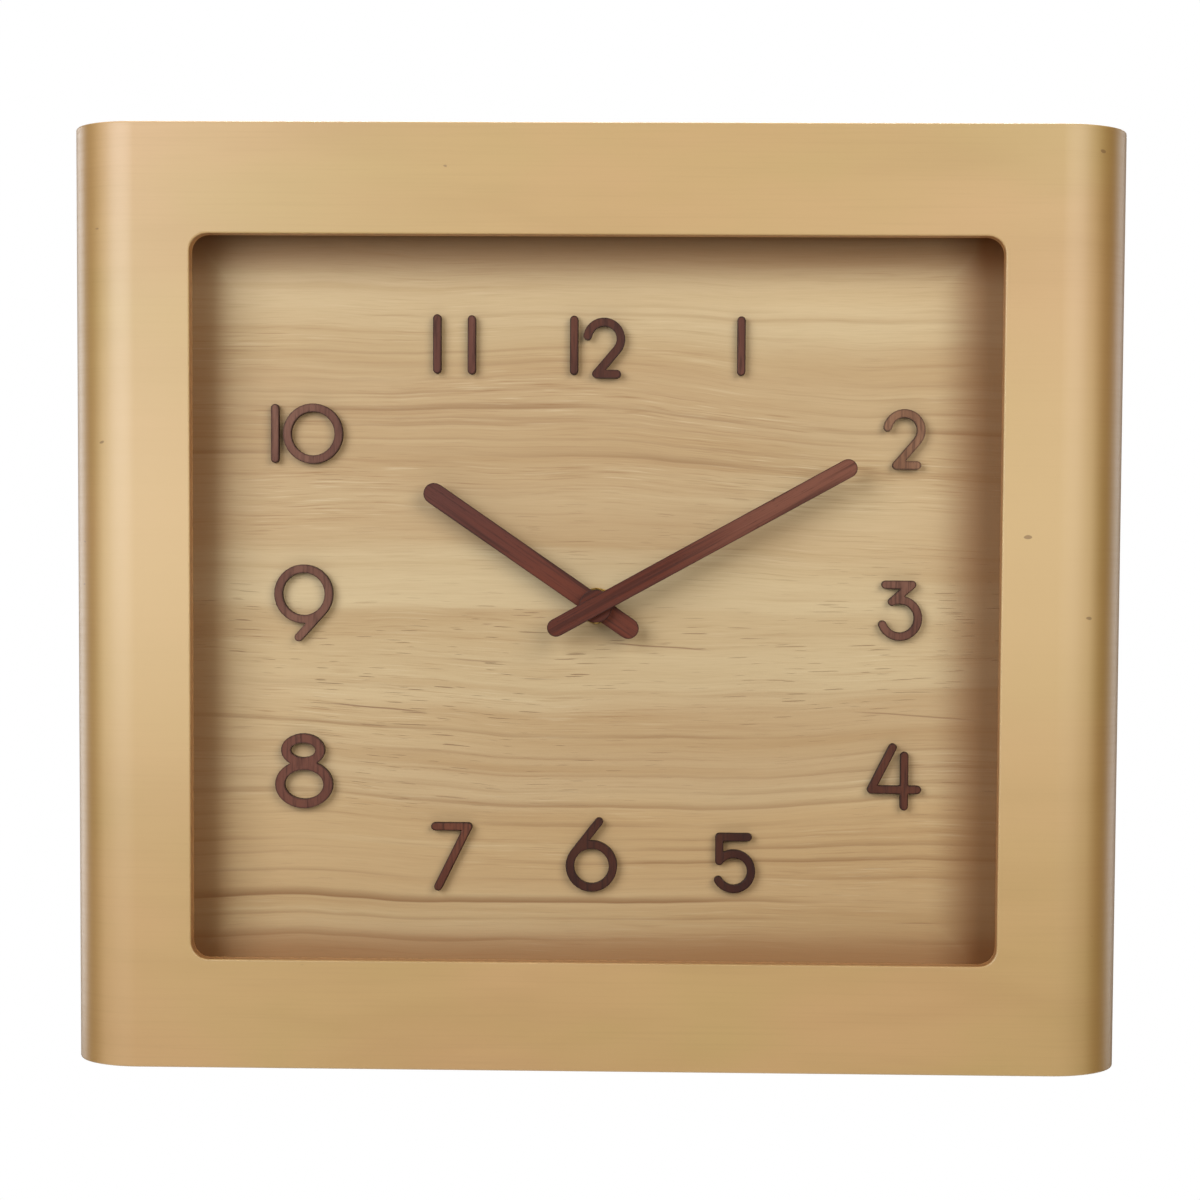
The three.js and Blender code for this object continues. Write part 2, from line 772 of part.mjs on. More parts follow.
function movementHousing() {
  const outer = slab(-half, half, 0, housingRim, -half, half, movementCorner);
  const hollowTop = bayTop + housingWall;
  const openRear = housingRim + overshoot;
  const train = slab(-inside, inside, housingFloor, openRear, hollowTop, inside);
  const bay = slab(-inside, inside, housingFloor, openRear, -inside, bayTop);
  const posts = postSpots.flatMap((spot) => [
    rod(postRadius, housingFloor - bite, middleFront - glueLine, spot),
    rod(postPinRadius, housingFloor, middleBack - glueLine, spot),
  ]);
  const motionPost = rod(motionPostRadius, housingFloor - bite, levelBack(1), motionAxis);
  const flangeRecess = bushFlangeThickness + 2 * glueLine;
  const pivotFloor = housingFloor - pivotDepth - pivotPlay;
  const justInside = housingFloor + bite;
  return cut(join([cut(outer, [train, bay]), ...posts, motionPost]), [
    rod(bushRadius + shaftPlay, -overshoot, housingFloor + overshoot, mainAxis),
    rod(bushFlangeRadius + shaftPlay, housingFloor - flangeRecess, justInside, mainAxis),
    pivotHole(thirdAxis, pivotFloor, justInside),
    pivotHole(knobAxis, pivotFloor, justInside),
  ]);
}

function rearCover() {
  const sheet = slab(-half, half, coverInner, movementDepth, -half, half, movementCorner);
  const [front, back] = [coverInner - overshoot, movementDepth + overshoot];
  const window = slab(-inside, inside, front, back, -inside, bayTop);
  const bearings = [mainAxis, thirdAxis, fifthAxis, rotorAxis].map((axis) => (
    pivotHole(axis, front, coverPivot + pivotPlay)
  ));
  const knobHole = rod(knobShaftRadius + passingClearance, front, back, knobAxis);
  return cut(sheet, [window, knobHole, ...bearings]);
}

// The middle plate carries the fast wheels and, on two pillars, the coil's iron core.
function trainBridge() {
  const { left, right, bottom, top } = middlePlate;
  const sheet = slab(left, right, middleFront, middleBack, bottom, top, middlePlateCorner);
  const coreFront = coilAxis.y - coreThickness / 2;
  const pillars = [coilSpan.left - statorArm / 2, coilSpan.right + statorArm / 2].map((x) => (
    rod(pillarRadius, middleBack - bite, coreFront - glueLine, [x, coilAxis.z])
  ));
  const [front, back] = [middleFront - overshoot, middleBack + overshoot];
  const through = (radius, axis) => rod(radius, front, back, axis);
  return cut(join([sheet, ...pillars]), [
    through(arborRadius + passingClearance, mainAxis),
    through(arborRadius + passingClearance, thirdAxis),
    through(pivotRadius + pivotPlay, fifthAxis),
    through(pivotRadius + pivotPlay, rotorAxis),
    through(knobShaftRadius + passingClearance, knobAxis),
    ...postSpots.map((spot) => through(postPinRadius + glueLine, spot)),
  ]);
}

function threadedBush() {
  const flangeBack = housingFloor - glueLine;
  return join([
    rod(bushRadius, bushFront, flangeBack, mainAxis),
    rod(bushFlangeRadius, flangeBack - bushFlangeThickness, flangeBack, mainAxis),
  ]).subtract(rod(bushBore, bushFront - overshoot, flangeBack + overshoot, mainAxis));
}

function hexNut() {
  const geometry = new THREE.CylinderGeometry(
    nutAcrossFlats / Math.sqrt(3), nutAcrossFlats / Math.sqrt(3), nutHeight, 6,
  );
  geometry.translate(0, nutBack - nutHeight / 2, 0);
  return bodyFrom(geometry)
    .subtract(rod(bushRadius + shaftPlay, nutBack - nutHeight - overshoot, nutBack + overshoot));
}

// Train wheels, each one moulding with its pinion and arbor.
function centreWheel() {
  const [front, back] = [levelFront(2) - overshoot, levelBack(2) + overshoot];
  return gear(teeth.centreWheel, centreModule, tooth.centreWheel, 2, mainAxis)
    .subtract(rod(centreSeatRadius + shaftPlay, front, back));
}

function thirdWheel() {
  return join([
    gear(teeth.thirdWheel, thirdModule, tooth.thirdWheel, 3, thirdAxis),
    gear(teeth.thirdPinion, centreModule, tooth.thirdPinion, 2, thirdAxis),
    arbor(thirdAxis, housingFloor - pivotDepth, housingFloor + endShake, arborEnd, coverPivot),
  ]);
}

function secondsWheel() {
  const frontEnd = levelFront(3) - pivotPlay;
  return join([
    gear(teeth.secondsWheel, secondsModule, tooth.secondsWheel, 5, mainAxis),
    gear(teeth.secondsPinion, thirdModule, tooth.secondsPinion, 3, mainAxis),
    arbor(mainAxis, levelFront(2) - levelPitch, frontEnd, arborEnd, coverPivot),
  ]);
}

function fifthWheel() {
  return join([
    gear(teeth.fifthWheel, fifthModule, tooth.fifthWheel, 6, fifthAxis),
    gear(teeth.fifthPinion, secondsModule, tooth.fifthPinion, 5, fifthAxis),
    arbor(fifthAxis, middleFront + pivotPlay, middleBack + endShake, arborEnd, coverPivot),
  ]);
}

function magnetRotor() {
  return join([
    rod(magnetRadius, levelFront(7), levelFront(7) + magnetThickness, rotorAxis),
    gear(teeth.rotorPinion, fifthModule, tooth.rotorPinion, 6, rotorAxis),
    arbor(rotorAxis, middleFront + pivotPlay, middleBack + endShake, arborEnd, coverPivot),
  ]);
}

// The minute arbor runs from the hand's hub to the centre wheel, whose seat slips when set.
function minuteArbor() {
  const rear = levelBack(2) + shaftPlay;
  const boreFront = levelFront(2) - levelPitch - pivotPlay;
  return join([
    rod(minuteArborRadius, hubFront + glueLine, levelFront(1) + bite, mainAxis),
    gear(teeth.minutePinion, motionModule, tooth.minutePinion, 1, mainAxis),
    rod(centreSeatRadius, levelBack(1) - bite, rear, mainAxis),
  ]).subtract(pivotHole(mainAxis, boreFront, rear + overshoot));
}

function hourWheel() {
  const tubeFront = hourHandFront + tubeSetback;
  return join([
    rod(hourTubeRadius, tubeFront, levelFront(0) + bite, mainAxis),
    gear(teeth.hourWheel, hourModule, tooth.hourWheel, 0, mainAxis),
  ]).subtract(rod(hourTubeBore, tubeFront - overshoot, levelBack(0) + overshoot, mainAxis));
}

function motionWheel() {
  return join([
    gear(teeth.motionWheel, motionModule, tooth.motionWheel, 1, motionAxis),
    gear(teeth.motionPinion, hourModule, tooth.motionPinion, 0, motionAxis),
    rod(motionHubRadius, levelFront(0), levelBack(1), motionAxis),
  ]).subtract(rod(motionPostRadius + shaftPlay, 0, levelBack(1) + overshoot, motionAxis));
}

// The knob stands behind the rear cover; its shaft turns the motion wheel to set the hands.
function settingKnob() {
  const knobFront = movementDepth + knobLift;
  const ridge = knobRadius / (knobRidges / 2 + addendum);
  const grip = gearShape(knobRidges, ridge, 0, knobAxis);
  return join([
    rod(pivotRadius, housingFloor - pivotDepth, levelFront(1), knobAxis),
    rod(knobShaftRadius, levelFront(1) - bite, knobFront + bite, knobAxis),
    gear(teeth.knobPinion, motionModule, tooth.knobPinion, 1, knobAxis),
    plate(grip, knobFront, knobFront + knobHeight),
  ]);
}

// Iron parts of the motor: the core lies on the pillars, the stator's two arms on the core.
function statorPlate() {
  const front = coilAxis.y + coreThickness / 2 + glueLine;
  const back = front + statorThickness;
  const { bottom, top } = statorLower;
  const armTop = coilAxis.z + coreWidth / 2;
  const left = coilSpan.left - statorArm;
  const right = coilSpan.right + statorArm;
  return cut(join([
    slab(left, right, front, back, bottom, top),
    slab(left, coilSpan.left, front, back, bottom, armTop),
    slab(coilSpan.right, right, front, back, bottom, armTop),
  ]), [
    rod(magnetRadius + airGap, front - overshoot, back + overshoot, rotorAxis),
    rod(arborRadius + 2 * passingClearance, front - overshoot, back + overshoot, fifthAxis),
  ]);
}

function coreBar() {
  const front = coilAxis.y - coreThickness / 2;
  const reach = coreWidth / 2;
  return slab(
    coilSpan.left - statorArm, coilSpan.right + statorArm,
    front, front + coreThickness,
    coilAxis.z - reach, coilAxis.z + reach,
  );
}

function coilRod(radius, left, right) {
  return crossbar(radius, left, right, coilAxis.y, coilAxis.z);
}

const bobbinLeft = coilSpan.left + passingClearance;
const bobbinRight = coilSpan.right - passingClearance;

function coilBobbin() {
  const play = glueLine;
  const [across, deep] = [coreWidth / 2 + play, coreThickness / 2 + play];
  const tunnel = slab(
    bobbinLeft - overshoot, bobbinRight + overshoot,
    coilAxis.y - deep, coilAxis.y + deep,
    coilAxis.z - across, coilAxis.z + across,
  );
  return join([
    coilRod(spoolRadius, bobbinLeft, bobbinRight),
    coilRod(coilFlangeRadius, bobbinLeft, bobbinLeft + flangeThickness),
    coilRod(coilFlangeRadius, bobbinRight - flangeThickness, bobbinRight),
  ]).subtract(tunnel);
}

function coilWinding() {
  const left = bobbinLeft + flangeThickness + glueLine;
  const right = bobbinRight - flangeThickness - glueLine;
  return coilRod(windingRadius, left, right)
    .subtract(coilRod(spoolRadius + glueLine, left - overshoot, right + overshoot));
}

const circuitFront = middleBack + glueLine;
const circuitBack = circuitFront + circuitThickness;

function circuitBoard() {
  const { left, right, bottom, top } = boardSize;
  return slab(left, right, circuitFront, circuitBack, bottom, top);
}

function quartzCrystal() {
  const middle = (boardSize.left + boardSize.right) / 2;
  return crossbar(
    crystalRadius,
    middle - crystalLength / 2, middle + crystalLength / 2,
    circuitBack + crystalRadius + glueLine,
    boardSize.top - crystalInset,
  );
}

// The cell lies across the bay, its nub toward -X.
const cellCentre = {
  y: housingFloor + contactPlay + cellRadius,
  z: -inside + bayPlay + cellRadius,
};
const nubTip = -inside + 2 * contactPlay + contactThickness;

function batteryCell() {
  const bodyLeft = nubTip + nubLength;
  const { y, z } = cellCentre;
  return crossbar(nubRadius, nubTip, bodyLeft + bite, y, z)
    .add(crossbar(cellRadius, bodyLeft, bodyLeft + cellLength, y, z));
}

function positiveContact() {
  const left = -inside + contactPlay;
  const reach = contactWidth / 2;
  return slab(
    left, left + contactThickness,
    cellCentre.y - reach, cellCentre.y + reach,
    cellCentre.z - reach, cellCentre.z + reach,
  );
}

// A leaf spring: a flat back on the bay's end wall and a bent tongue that meets the cell.
function negativeContact() {
  const wall = inside - contactPlay;
  const cellEnd = nubTip + nubLength + cellLength + contactPlay;
  const reach = contactWidth / 2;
  const [low, high] = [cellCentre.y - reach, cellCentre.y + reach];
  const face = wall - contactThickness;
  const leaf = outline([
    [wall, low], [wall, high], [face, high],
    [face, low + 2 * contactThickness],
    [cellEnd + contactThickness, cellCentre.y],
    [face - contactThickness, high],
    [face - 2 * contactThickness, high],
    [cellEnd, cellCentre.y],
    [face, low],
  ]);
  return upright(leaf, cellCentre.z - reach, cellCentre.z + reach);
}

// Hands are drawn pointing up and then turned clockwise to the time.
function handShape({ length, tail, tipWidth, hubWidth, tailWidth }) {
  const [tip, middle, foot] = [tipWidth / 2, hubWidth / 2, tailWidth / 2];
  return outline(
    arc([0, length - tip], tip, 0, Math.PI),
    [[-middle, 0]],
    arc([0, foot - tail], foot, Math.PI, 2 * Math.PI),
    [[middle, 0]],
  );
}

const handBushBore = hourTubeRadius + shaftPlay / 2;
const handBushRadius = handBushBore + handBushWall;

function hourHandBody() {
  const [front, back] = [hourHandFront - overshoot, hourHandBack + overshoot];
  return plate(handShape(hourHand), hourHandFront, hourHandBack)
    .subtract(rod(handBushRadius + glueLine / 2, front, back));
}

function hourHandBush() {
  const flangeFront = hourFlangeBack - handBushFlangeThickness;
  return join([
    rod(handBushRadius, hourHandFront + tubeSetback, hourFlangeBack, mainAxis),
    rod(handBushFlangeRadius, flangeFront, hourFlangeBack, mainAxis),
  ]).subtract(rod(handBushBore, hourHandFront - overshoot, hourFlangeBack + overshoot));
}

function addHands(movement) {
  const minuteTurn = degrees(minuteReading * 6);
  const hourTurn = degrees(hourReading * 30 + minuteReading / 2 - hourHandLag);
  const minuteSeat = minuteArborRadius + shaftPlay / 2;
  const hub = ring(hubRadius, minuteSeat, hubFront, hubBack);
  const minute = plate(handShape(minuteHand), minuteHandBack - handThickness, minuteHandBack);
  const turned = [
    ['hour_hand', hourHandBody(), handWood, hourTurn],
    ['hour_hand_bush', hourHandBush(), brass, hourTurn],
    ['minute_hand', minute, handWood, minuteTurn],
    ['minute_hand_hub', hub, handWood, minuteTurn],
  ];
  for (const [name, body, finish, turn] of turned) {
    addPiece(movement, name, body, finish).rotation.y = turn;
  }
}

function addMovement(movement) {
  const rubberBack = -glueLine;
  const rubberFront = rubberBack - rubberWasherThickness;
  const washerFront = washerBack - flatWasherThickness;
  const clearBore = bushRadius + shaftPlay;
  const pieces = [
    ['movement_housing', movementHousing(), blackPlastic],
    ['movement_rear_cover', rearCover(), blackPlastic],
    ['middle_plate', trainBridge(), whitePlastic],
    ['threaded_bush', threadedBush(), brass],
    ['rubber_washer', ring(rubberWasherRadius, clearBore, rubberFront, rubberBack), rubber],
    ['flat_washer', ring(flatWasherRadius, clearBore, washerFront, washerBack), brass],
    ['hex_nut', hexNut(), brass],
    ['hour_wheel', hourWheel(), whitePlastic],
    ['motion_wheel', motionWheel(), whitePlastic],
    ['minute_arbor', minuteArbor(), brass],
    ['centre_wheel', centreWheel(), whitePlastic],
    ['third_wheel', thirdWheel(), whitePlastic],
    ['seconds_wheel', secondsWheel(), whitePlastic],
    ['fifth_wheel', fifthWheel(), whitePlastic],
    ['rotor', magnetRotor(), magnetGrey],
    ['stator', statorPlate(), steel],
    ['coil_core', coreBar(), steel],
    ['coil_bobbin', coilBobbin(), whitePlastic],
    ['coil_winding', coilWinding(), copper],
    ['circuit_board', circuitBoard(), circuitGreen],
    ['quartz_crystal', quartzCrystal(), steel],
    ['setting_knob', settingKnob(), whitePlastic],
    ['positive_contact', positiveContact(), steel],
    ['negative_contact', negativeContact(), steel],
    ['battery', batteryCell(), cellJacket],
  ];
  for (const [name, body, finish] of pieces) addPiece(movement, name, body, finish);
}

function addCase(clock) {
  const lift = halfHeight - boardInset - boardThickness;
  addPiece(clock, 'case_shell', shellSheet().subtract(openingCut()), lacqueredWood);
  addPiece(clock, 'top_board', endBoard(lift), lacqueredWood);
  addPiece(clock, 'bottom_board', endBoard(-lift - boardThickness), lacqueredWood);
  addPiece(clock, 'dial_panel', dialPanel(), dialWood);
  for (const [place, x, z] of dialScrewSpots) {
    const screw = woodScrew(dialBack + glueLine / 2, dialScrewLength, [x, z]);
    addPiece(clock, `dial_screw_${place}`, screw, steel);
  }
}

const clock = new THREE.Group();
clock.position.z = -hookHeight;
addCase(clock);
addSpacers(clock);
addHanger(clock);

const dial = new THREE.Group();
dial.position.z = -dialDrop;
addNumerals(dial);
clock.add(dial);

const movement = new THREE.Group();
movement.position.set(0, movementFront, -dialDrop);
addMovement(movement);
addHands(movement);
clock.add(movement);

const group = new THREE.Group();
group.add(clock);

export default group;
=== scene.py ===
"""The finish of a wooden wall clock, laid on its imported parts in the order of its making."""

import math

import bmesh
import bpy
from mathutils import Matrix, Vector


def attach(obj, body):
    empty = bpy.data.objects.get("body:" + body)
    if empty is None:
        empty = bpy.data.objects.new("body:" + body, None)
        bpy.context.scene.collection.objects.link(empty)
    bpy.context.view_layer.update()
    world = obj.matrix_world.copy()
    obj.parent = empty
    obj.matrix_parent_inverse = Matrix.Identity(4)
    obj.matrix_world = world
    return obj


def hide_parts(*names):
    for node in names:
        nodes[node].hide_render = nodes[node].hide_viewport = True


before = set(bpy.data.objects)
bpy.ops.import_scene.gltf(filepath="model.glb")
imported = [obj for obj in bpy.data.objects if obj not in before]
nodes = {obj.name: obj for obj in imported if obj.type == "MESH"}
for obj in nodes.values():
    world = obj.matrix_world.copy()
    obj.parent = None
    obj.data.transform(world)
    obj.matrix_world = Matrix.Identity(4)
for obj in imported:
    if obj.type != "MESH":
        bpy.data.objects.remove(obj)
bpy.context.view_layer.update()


# Case shell. One sheet of pale veneered plywood, bent round both front corners, its window
# routed out. The faces are lacquered satin; a painted highlight makes them palest above the
# middle, painted shade browns the bends, and the cut edges show the darker inner plies.


def corners_of(name):
    """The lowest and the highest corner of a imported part, where it lies at rest."""
    points = [vertex.co for vertex in nodes[name].data.vertices]
    return [Vector([pick(p[i] for p in points) for i in range(3)]) for pick in (min, max)]


shell_low, shell_high = corners_of("case_shell")
SHELL_DEPTH = shell_high.y - shell_low.y
SHELL_HALF_WIDTH = shell_high.x
SHELL_ROLL = 0.027
SHEET = 0.007
VENEER = 0.0007
PLY = 0.0014
CASE_MIDDLE = Vector((0, shell_high.y, (shell_low.z + shell_high.z) / 2))
# A painted highlight: its height above the case's middle, its spread and its share.
PAINTED_HIGHLIGHT_HEIGHT, PAINTED_HIGHLIGHT_SPREAD, PAINTED_HIGHLIGHT_SHARE = 0.015, 0.105, 0.85
# Painted shade on the bends: how far out it starts and is full, where it fades towards the back, and
# its share.
BEND_SHADE_ACROSS = (SHELL_HALF_WIDTH - 0.0155, SHELL_HALF_WIDTH - SHEET)
BEND_END = (-0.020, -0.050)
BEND_SHADE_SHARE = 0.66
SHELL_LACQUER = 0.9


def seen(code):
    """A colour as it is seen, such as d4b78e, in the amounts of light that it sends back."""
    parts = [int(code[i : i + 2], 16) / 255 for i in (0, 2, 4)]
    return [p / 12.92 if p <= 0.04045 else ((p + 0.055) / 1.055) ** 2.4 for p in parts] + [1]


class Finish:
    """A surface finish being mixed. Each call adds one step and gives what it yields."""

    def __init__(self, name, shine):
        self.material = bpy.data.materials.new(name)
        self.material.use_nodes = True
        self.tree = self.material.node_tree
        self.shader = self.tree.nodes["Principled BSDF"]
        for socket, value in shine.items():
            self.shader.inputs[socket].default_value = value

    def feed(self, value, socket):
        if isinstance(value, bpy.types.NodeSocket):
            self.tree.links.new(value, socket)
        else:
            socket.default_value = value

    def step(self, kind, feeds, **settings):
        node = self.tree.nodes.new("ShaderNode" + kind)
        for key, value in settings.items():
            setattr(node, key, value)
        for socket, value in feeds.items():
            self.feed(value, node.inputs[socket])
        return node

    def place(self, middle=(0, 0, 0)):
        """The point of the piece that is being coloured, measured from its middle in metres."""
        here = self.step("TexCoord", {}).outputs["Object"]
        return self.step("VectorMath", {0: here, 1: middle}, operation="SUBTRACT").outputs[0]

    def along(self, place, direction):
        feeds = {0: place, 1: direction}
        return self.step("VectorMath", feeds, operation="DOT_PRODUCT").outputs["Value"]

    def axes(self, place):
        """How far the place lies to the right, to the back and up."""
        return [self.along(place, axis) for axis in ((1, 0, 0), (0, 1, 0), (0, 0, 1))]

    def join(self, x, y, z):
        return self.step("CombineXYZ", {0: x, 1: y, 2: z}).outputs[0]

    def distance(self, first, second):
        """The length of a line that goes so far one way and so far square to it."""
        line = self.join(first, second, 0)
        return self.step("VectorMath", {0: line}, operation="LENGTH").outputs["Value"]

    def absolute(self, value):
        return self.step("Math", {0: value}, operation="ABSOLUTE").outputs[0]

    def add(self, *values, operation="ADD"):
        total = values[0]
        for value in values[1:]:
            total = self.step("Math", {0: total, 1: value}, operation=operation).outputs[0]
        return total

    def less(self, first, second):
        return self.add(first, second, operation="SUBTRACT")

    def times(self, *values):
        return self.add(*values, operation="MULTIPLY")

    def largest(self, *values):
        return self.add(*values, operation="MAXIMUM")

    def noise(self, place, fineness, detail=2, roughness=0.5, wander=0.0):
        """Cloudy unevenness with so many patches to the metre, or so many each way."""
        if isinstance(fineness, int):
            fineness = (fineness,) * 3
        feeds = {0: place, 1: fineness}
        scaled = self.step("VectorMath", feeds, operation="MULTIPLY").outputs[0]
        feeds = {"Vector": scaled, "Scale": 1, "Detail": detail, "Roughness": roughness}
        return self.step("TexNoise", {**feeds, "Distortion": wander}).outputs[0]

    def level(self, value, low, high, start=0.0, end=1.0):
        """A soft step from start to end as the value goes from low to high."""
        feeds = {"Value": value, 1: low, 2: high, 3: start, 4: end}
        return self.step("MapRange", feeds, interpolation_type="SMOOTHSTEP").outputs[0]

    def hump(self, value, middle, width):
        """One at the middle, falling away smoothly on both sides."""
        off = self.times(self.less(value, middle), 1 / width)
        return self.step("Math", {0: self.times(off, off, -1)}, operation="EXPONENT").outputs[0]

    def mix(self, share, first, second):
        """The first colour with a share of the second: codes, or colours mixed before."""
        node = self.step("Mix", {0: share}, data_type="RGBA")
        # A mix step takes its two colours at sockets 6 and 7.
        for colour, socket in ((first, 6), (second, 7)):
            self.feed(seen(colour) if isinstance(colour, str) else colour, node.inputs[socket])
        return node.outputs[2]

    def stain(self, body, clouds, low, high, share, colour):
        """Tints the body, up to this share, where the clouds go from low to high."""
        return self.mix(self.level(clouds, low, high, 0, share), body, colour)

    def relief(self, height, depth):
        """Raises the surface by the height, which is in parts of the depth in metres."""
        feeds = {"Height": height, "Distance": depth, "Strength": 1}
        return self.step("Bump", feeds).outputs[0]

    def set(self, socket, value):
        self.feed(value, self.shader.inputs[socket])

    def lay_on(self, piece):
        if piece.material_slots:
            piece.material_slots[0].material = self.material
        else:
            piece.data.materials.append(self.material)


def make_smooth_faces(corner_degrees=35):
    """Shades curved faces as one surface and leaves only real corners sharp."""
    group = bpy.data.node_groups.new("smooth_faces", "GeometryNodeTree")
    group.interface.new_socket("Mesh", in_out="INPUT", socket_type="NodeSocketGeometry")
    group.interface.new_socket("Mesh", in_out="OUTPUT", socket_type="NodeSocketGeometry")
    source = group.nodes.new("NodeGroupInput")
    result = group.nodes.new("NodeGroupOutput")
    normals = group.nodes.new("GeometryNodeSetMeshNormal")
    normals.inputs["Remove Custom"].default_value = True
    angle = group.nodes.new("GeometryNodeInputMeshEdgeAngle")
    sharp = group.nodes.new("FunctionNodeCompare")
    sharp.inputs[1].default_value = math.radians(corner_degrees)
    group.links.new(source.outputs[0], normals.inputs["Mesh"])
    group.links.new(angle.outputs["Unsigned Angle"], sharp.inputs[0])
    group.links.new(sharp.outputs[0], normals.inputs["Edge Sharpness"])
    group.links.new(normals.outputs[0], result.inputs[0])
    return group


smooth_faces = make_smooth_faces()


def shade_smooth(piece):
    piece.modifiers.new("smooth", "NODES").node_group = smooth_faces


def ease_edges(piece, width, segments=3, flat_degrees=0.5, corner_degrees=32):
    """Rounds a piece's sharp edges a little, as sanding or moulding leaves them."""
    weld = piece.modifiers.new("weld", "WELD")
    weld.merge_threshold = 1e-6
    flats = piece.modifiers.new("flats", "DECIMATE")
    flats.decimate_type = "DISSOLVE"
    flats.angle_limit = math.radians(flat_degrees)
    ease = piece.modifiers.new("ease", "BEVEL")
    ease.width = width
    ease.segments = segments
    ease.limit_method = "ANGLE"
    ease.angle_limit = math.radians(corner_degrees)
    ease.use_clamp_overlap = True
    shade_smooth(piece)
    even = piece.modifiers.new("even", "WEIGHTED_NORMAL")
    even.keep_sharp = True


def pale_veneer(name, lacquer):
    """Pale close-grained veneer: soft cloudy colour, faint fibres, a few tiny brown specks.

    It is painted palest a little above the middle of the case, a painted highlight, and brown
    where the sheet bends, a painted shade.
    """
    finish = Finish(name, {"Roughness": 0.46, "Coat Weight": lacquer, "Coat Roughness": 0.38})
    place = finish.place(CASE_MIDDLE)
    cloud = finish.noise(place, (6, 6, 13), detail=3, roughness=0.55)
    body = finish.mix(finish.level(cloud, 0.33, 0.67), "c8a06c", "bfa064")
    figure = finish.noise(place, (9, 9, 46), detail=2, wander=0.3)
    body = finish.stain(body, figure, 0.4, 0.75, 0.20, "a37a45")
    fibres = finish.noise(place, (14, 14, 900), detail=3, roughness=0.7)
    body = finish.stain(body, fibres, 0.45, 0.75, 0.10, "96703f")
    x, y, z = finish.axes(place)
    side = finish.absolute(x)
    # Painted shade: the bends are browned where the sheet turns away from the front.
    bend_shade = finish.times(finish.level(side, *BEND_SHADE_ACROSS), finish.level(y, *BEND_END))
    # Painted highlight: paler a little above the middle, except on the bends.
    pale = finish.times(finish.hump(z, PAINTED_HIGHLIGHT_HEIGHT, PAINTED_HIGHLIGHT_SPREAD), finish.less(1, bend_shade))
    body = finish.mix(finish.times(pale, PAINTED_HIGHLIGHT_SHARE), body, "d6b682")
    body = finish.mix(finish.times(bend_shade, BEND_SHADE_SHARE), body, "9c6f22")
    blush = finish.noise(place, (5, 5, 13), detail=1)
    body = finish.stain(body, blush, 0.66, 0.82, 0.40, "a2733f")
    specks = finish.noise(place, (170, 170, 300), detail=0)
    body = finish.stain(body, specks, 0.87, 0.90, 0.6, "704c2b")
    finish.set("Roughness", finish.level(fibres, 0.3, 0.8, 0.44, 0.54))
    finish.set("Normal", finish.relief(fibres, depth=0.00002))
    return finish, place, body


def plies(finish, place, body):
    """Adds the cut edge: inner plies between the sheet's outer veneer and its bare inside."""
    x, y, _ = finish.axes(place)
    sideways = finish.less(finish.absolute(x), SHELL_HALF_WIDTH - SHELL_ROLL)
    forward = finish.add(finish.times(y, -1), SHELL_ROLL - SHELL_DEPTH)
    reach = finish.distance(finish.largest(sideways, 0), finish.largest(forward, 0))
    depth = finish.add(finish.times(reach, -1), SHELL_ROLL)
    ply = finish.step("Math", {0: depth, 1: 2 * PLY}, operation="PINGPONG").outputs[0]
    grain = finish.noise(place, 300, detail=2)
    inner = finish.mix(finish.level(ply, 0.4 * PLY, 0.7 * PLY), "cf995d", "b8824b")
    inner = finish.stain(inner, grain, 0.4, 0.7, 0.4, "8a5530")
    inside = (SHEET - VENEER, SHEET - 0.8 * VENEER)
    core = finish.times(
        finish.level(depth, 0.8 * VENEER, VENEER), finish.level(depth, *inside, 1, 0)
    )
    body = finish.mix(core, body, inner)
    return finish.mix(finish.level(depth, *inside, 0, 0.5), body, "b48d5c")


shell_finish, shell_place, shell_body = pale_veneer("lacquered_shell", lacquer=SHELL_LACQUER)
shell_finish.set("Base Color", plies(shell_finish, shell_place, shell_body))
shell_finish.lay_on(nodes["case_shell"])
ease_edges(nodes["case_shell"], width=0.0007)


# End boards. Two flat boards of the same veneer close the top and bottom of the shell, glued
# a little way inside its ends. They are only sealed, so they shine less.

BOARD_SEALER = 0.1

board_finish, _, board_body = pale_veneer("sealed_board", lacquer=BOARD_SEALER)
board_finish.set("Base Color", board_body)
for name in ("top_board", "bottom_board"):
    board_finish.lay_on(nodes[name])
    ease_edges(nodes[name], width=0.0005)


# Spacers. Sawn strips of plain softwood stand between the front sheet and the dial, set back
# behind the window's edge. They are sanded and not lacquered.


def sawn_wood(name, grain, across):
    """Bare softwood with its growth lines along the grain and faint saw marks across it."""
    finish = Finish(name, {"Roughness": 0.75})
    place = finish.place()
    u, v = finish.along(place, grain), finish.along(place, across)
    w = finish.along(place, Vector(grain).cross(Vector(across)))
    run = finish.join(u, v, w)
    lines = finish.noise(run, (4, 260, 260), detail=3, roughness=0.6, wander=0.4)
    fibres = finish.noise(run, (60, 1800, 1800), detail=2, roughness=0.6)
    body = finish.mix(finish.level(lines, 0.35, 0.7), "b08a58", "8d673c")
    body = finish.stain(body, fibres, 0.5, 0.8, 0.4, "74522e")
    saw = finish.noise(run, (700, 6, 6), detail=1)
    height = finish.add(finish.times(saw, 0.5), fibres)
    finish.set("Base Color", body)
    finish.set("Roughness", finish.level(fibres, 0.3, 0.8, 0.68, 0.85))
    finish.set("Normal", finish.relief(height, depth=0.00006))
    return finish


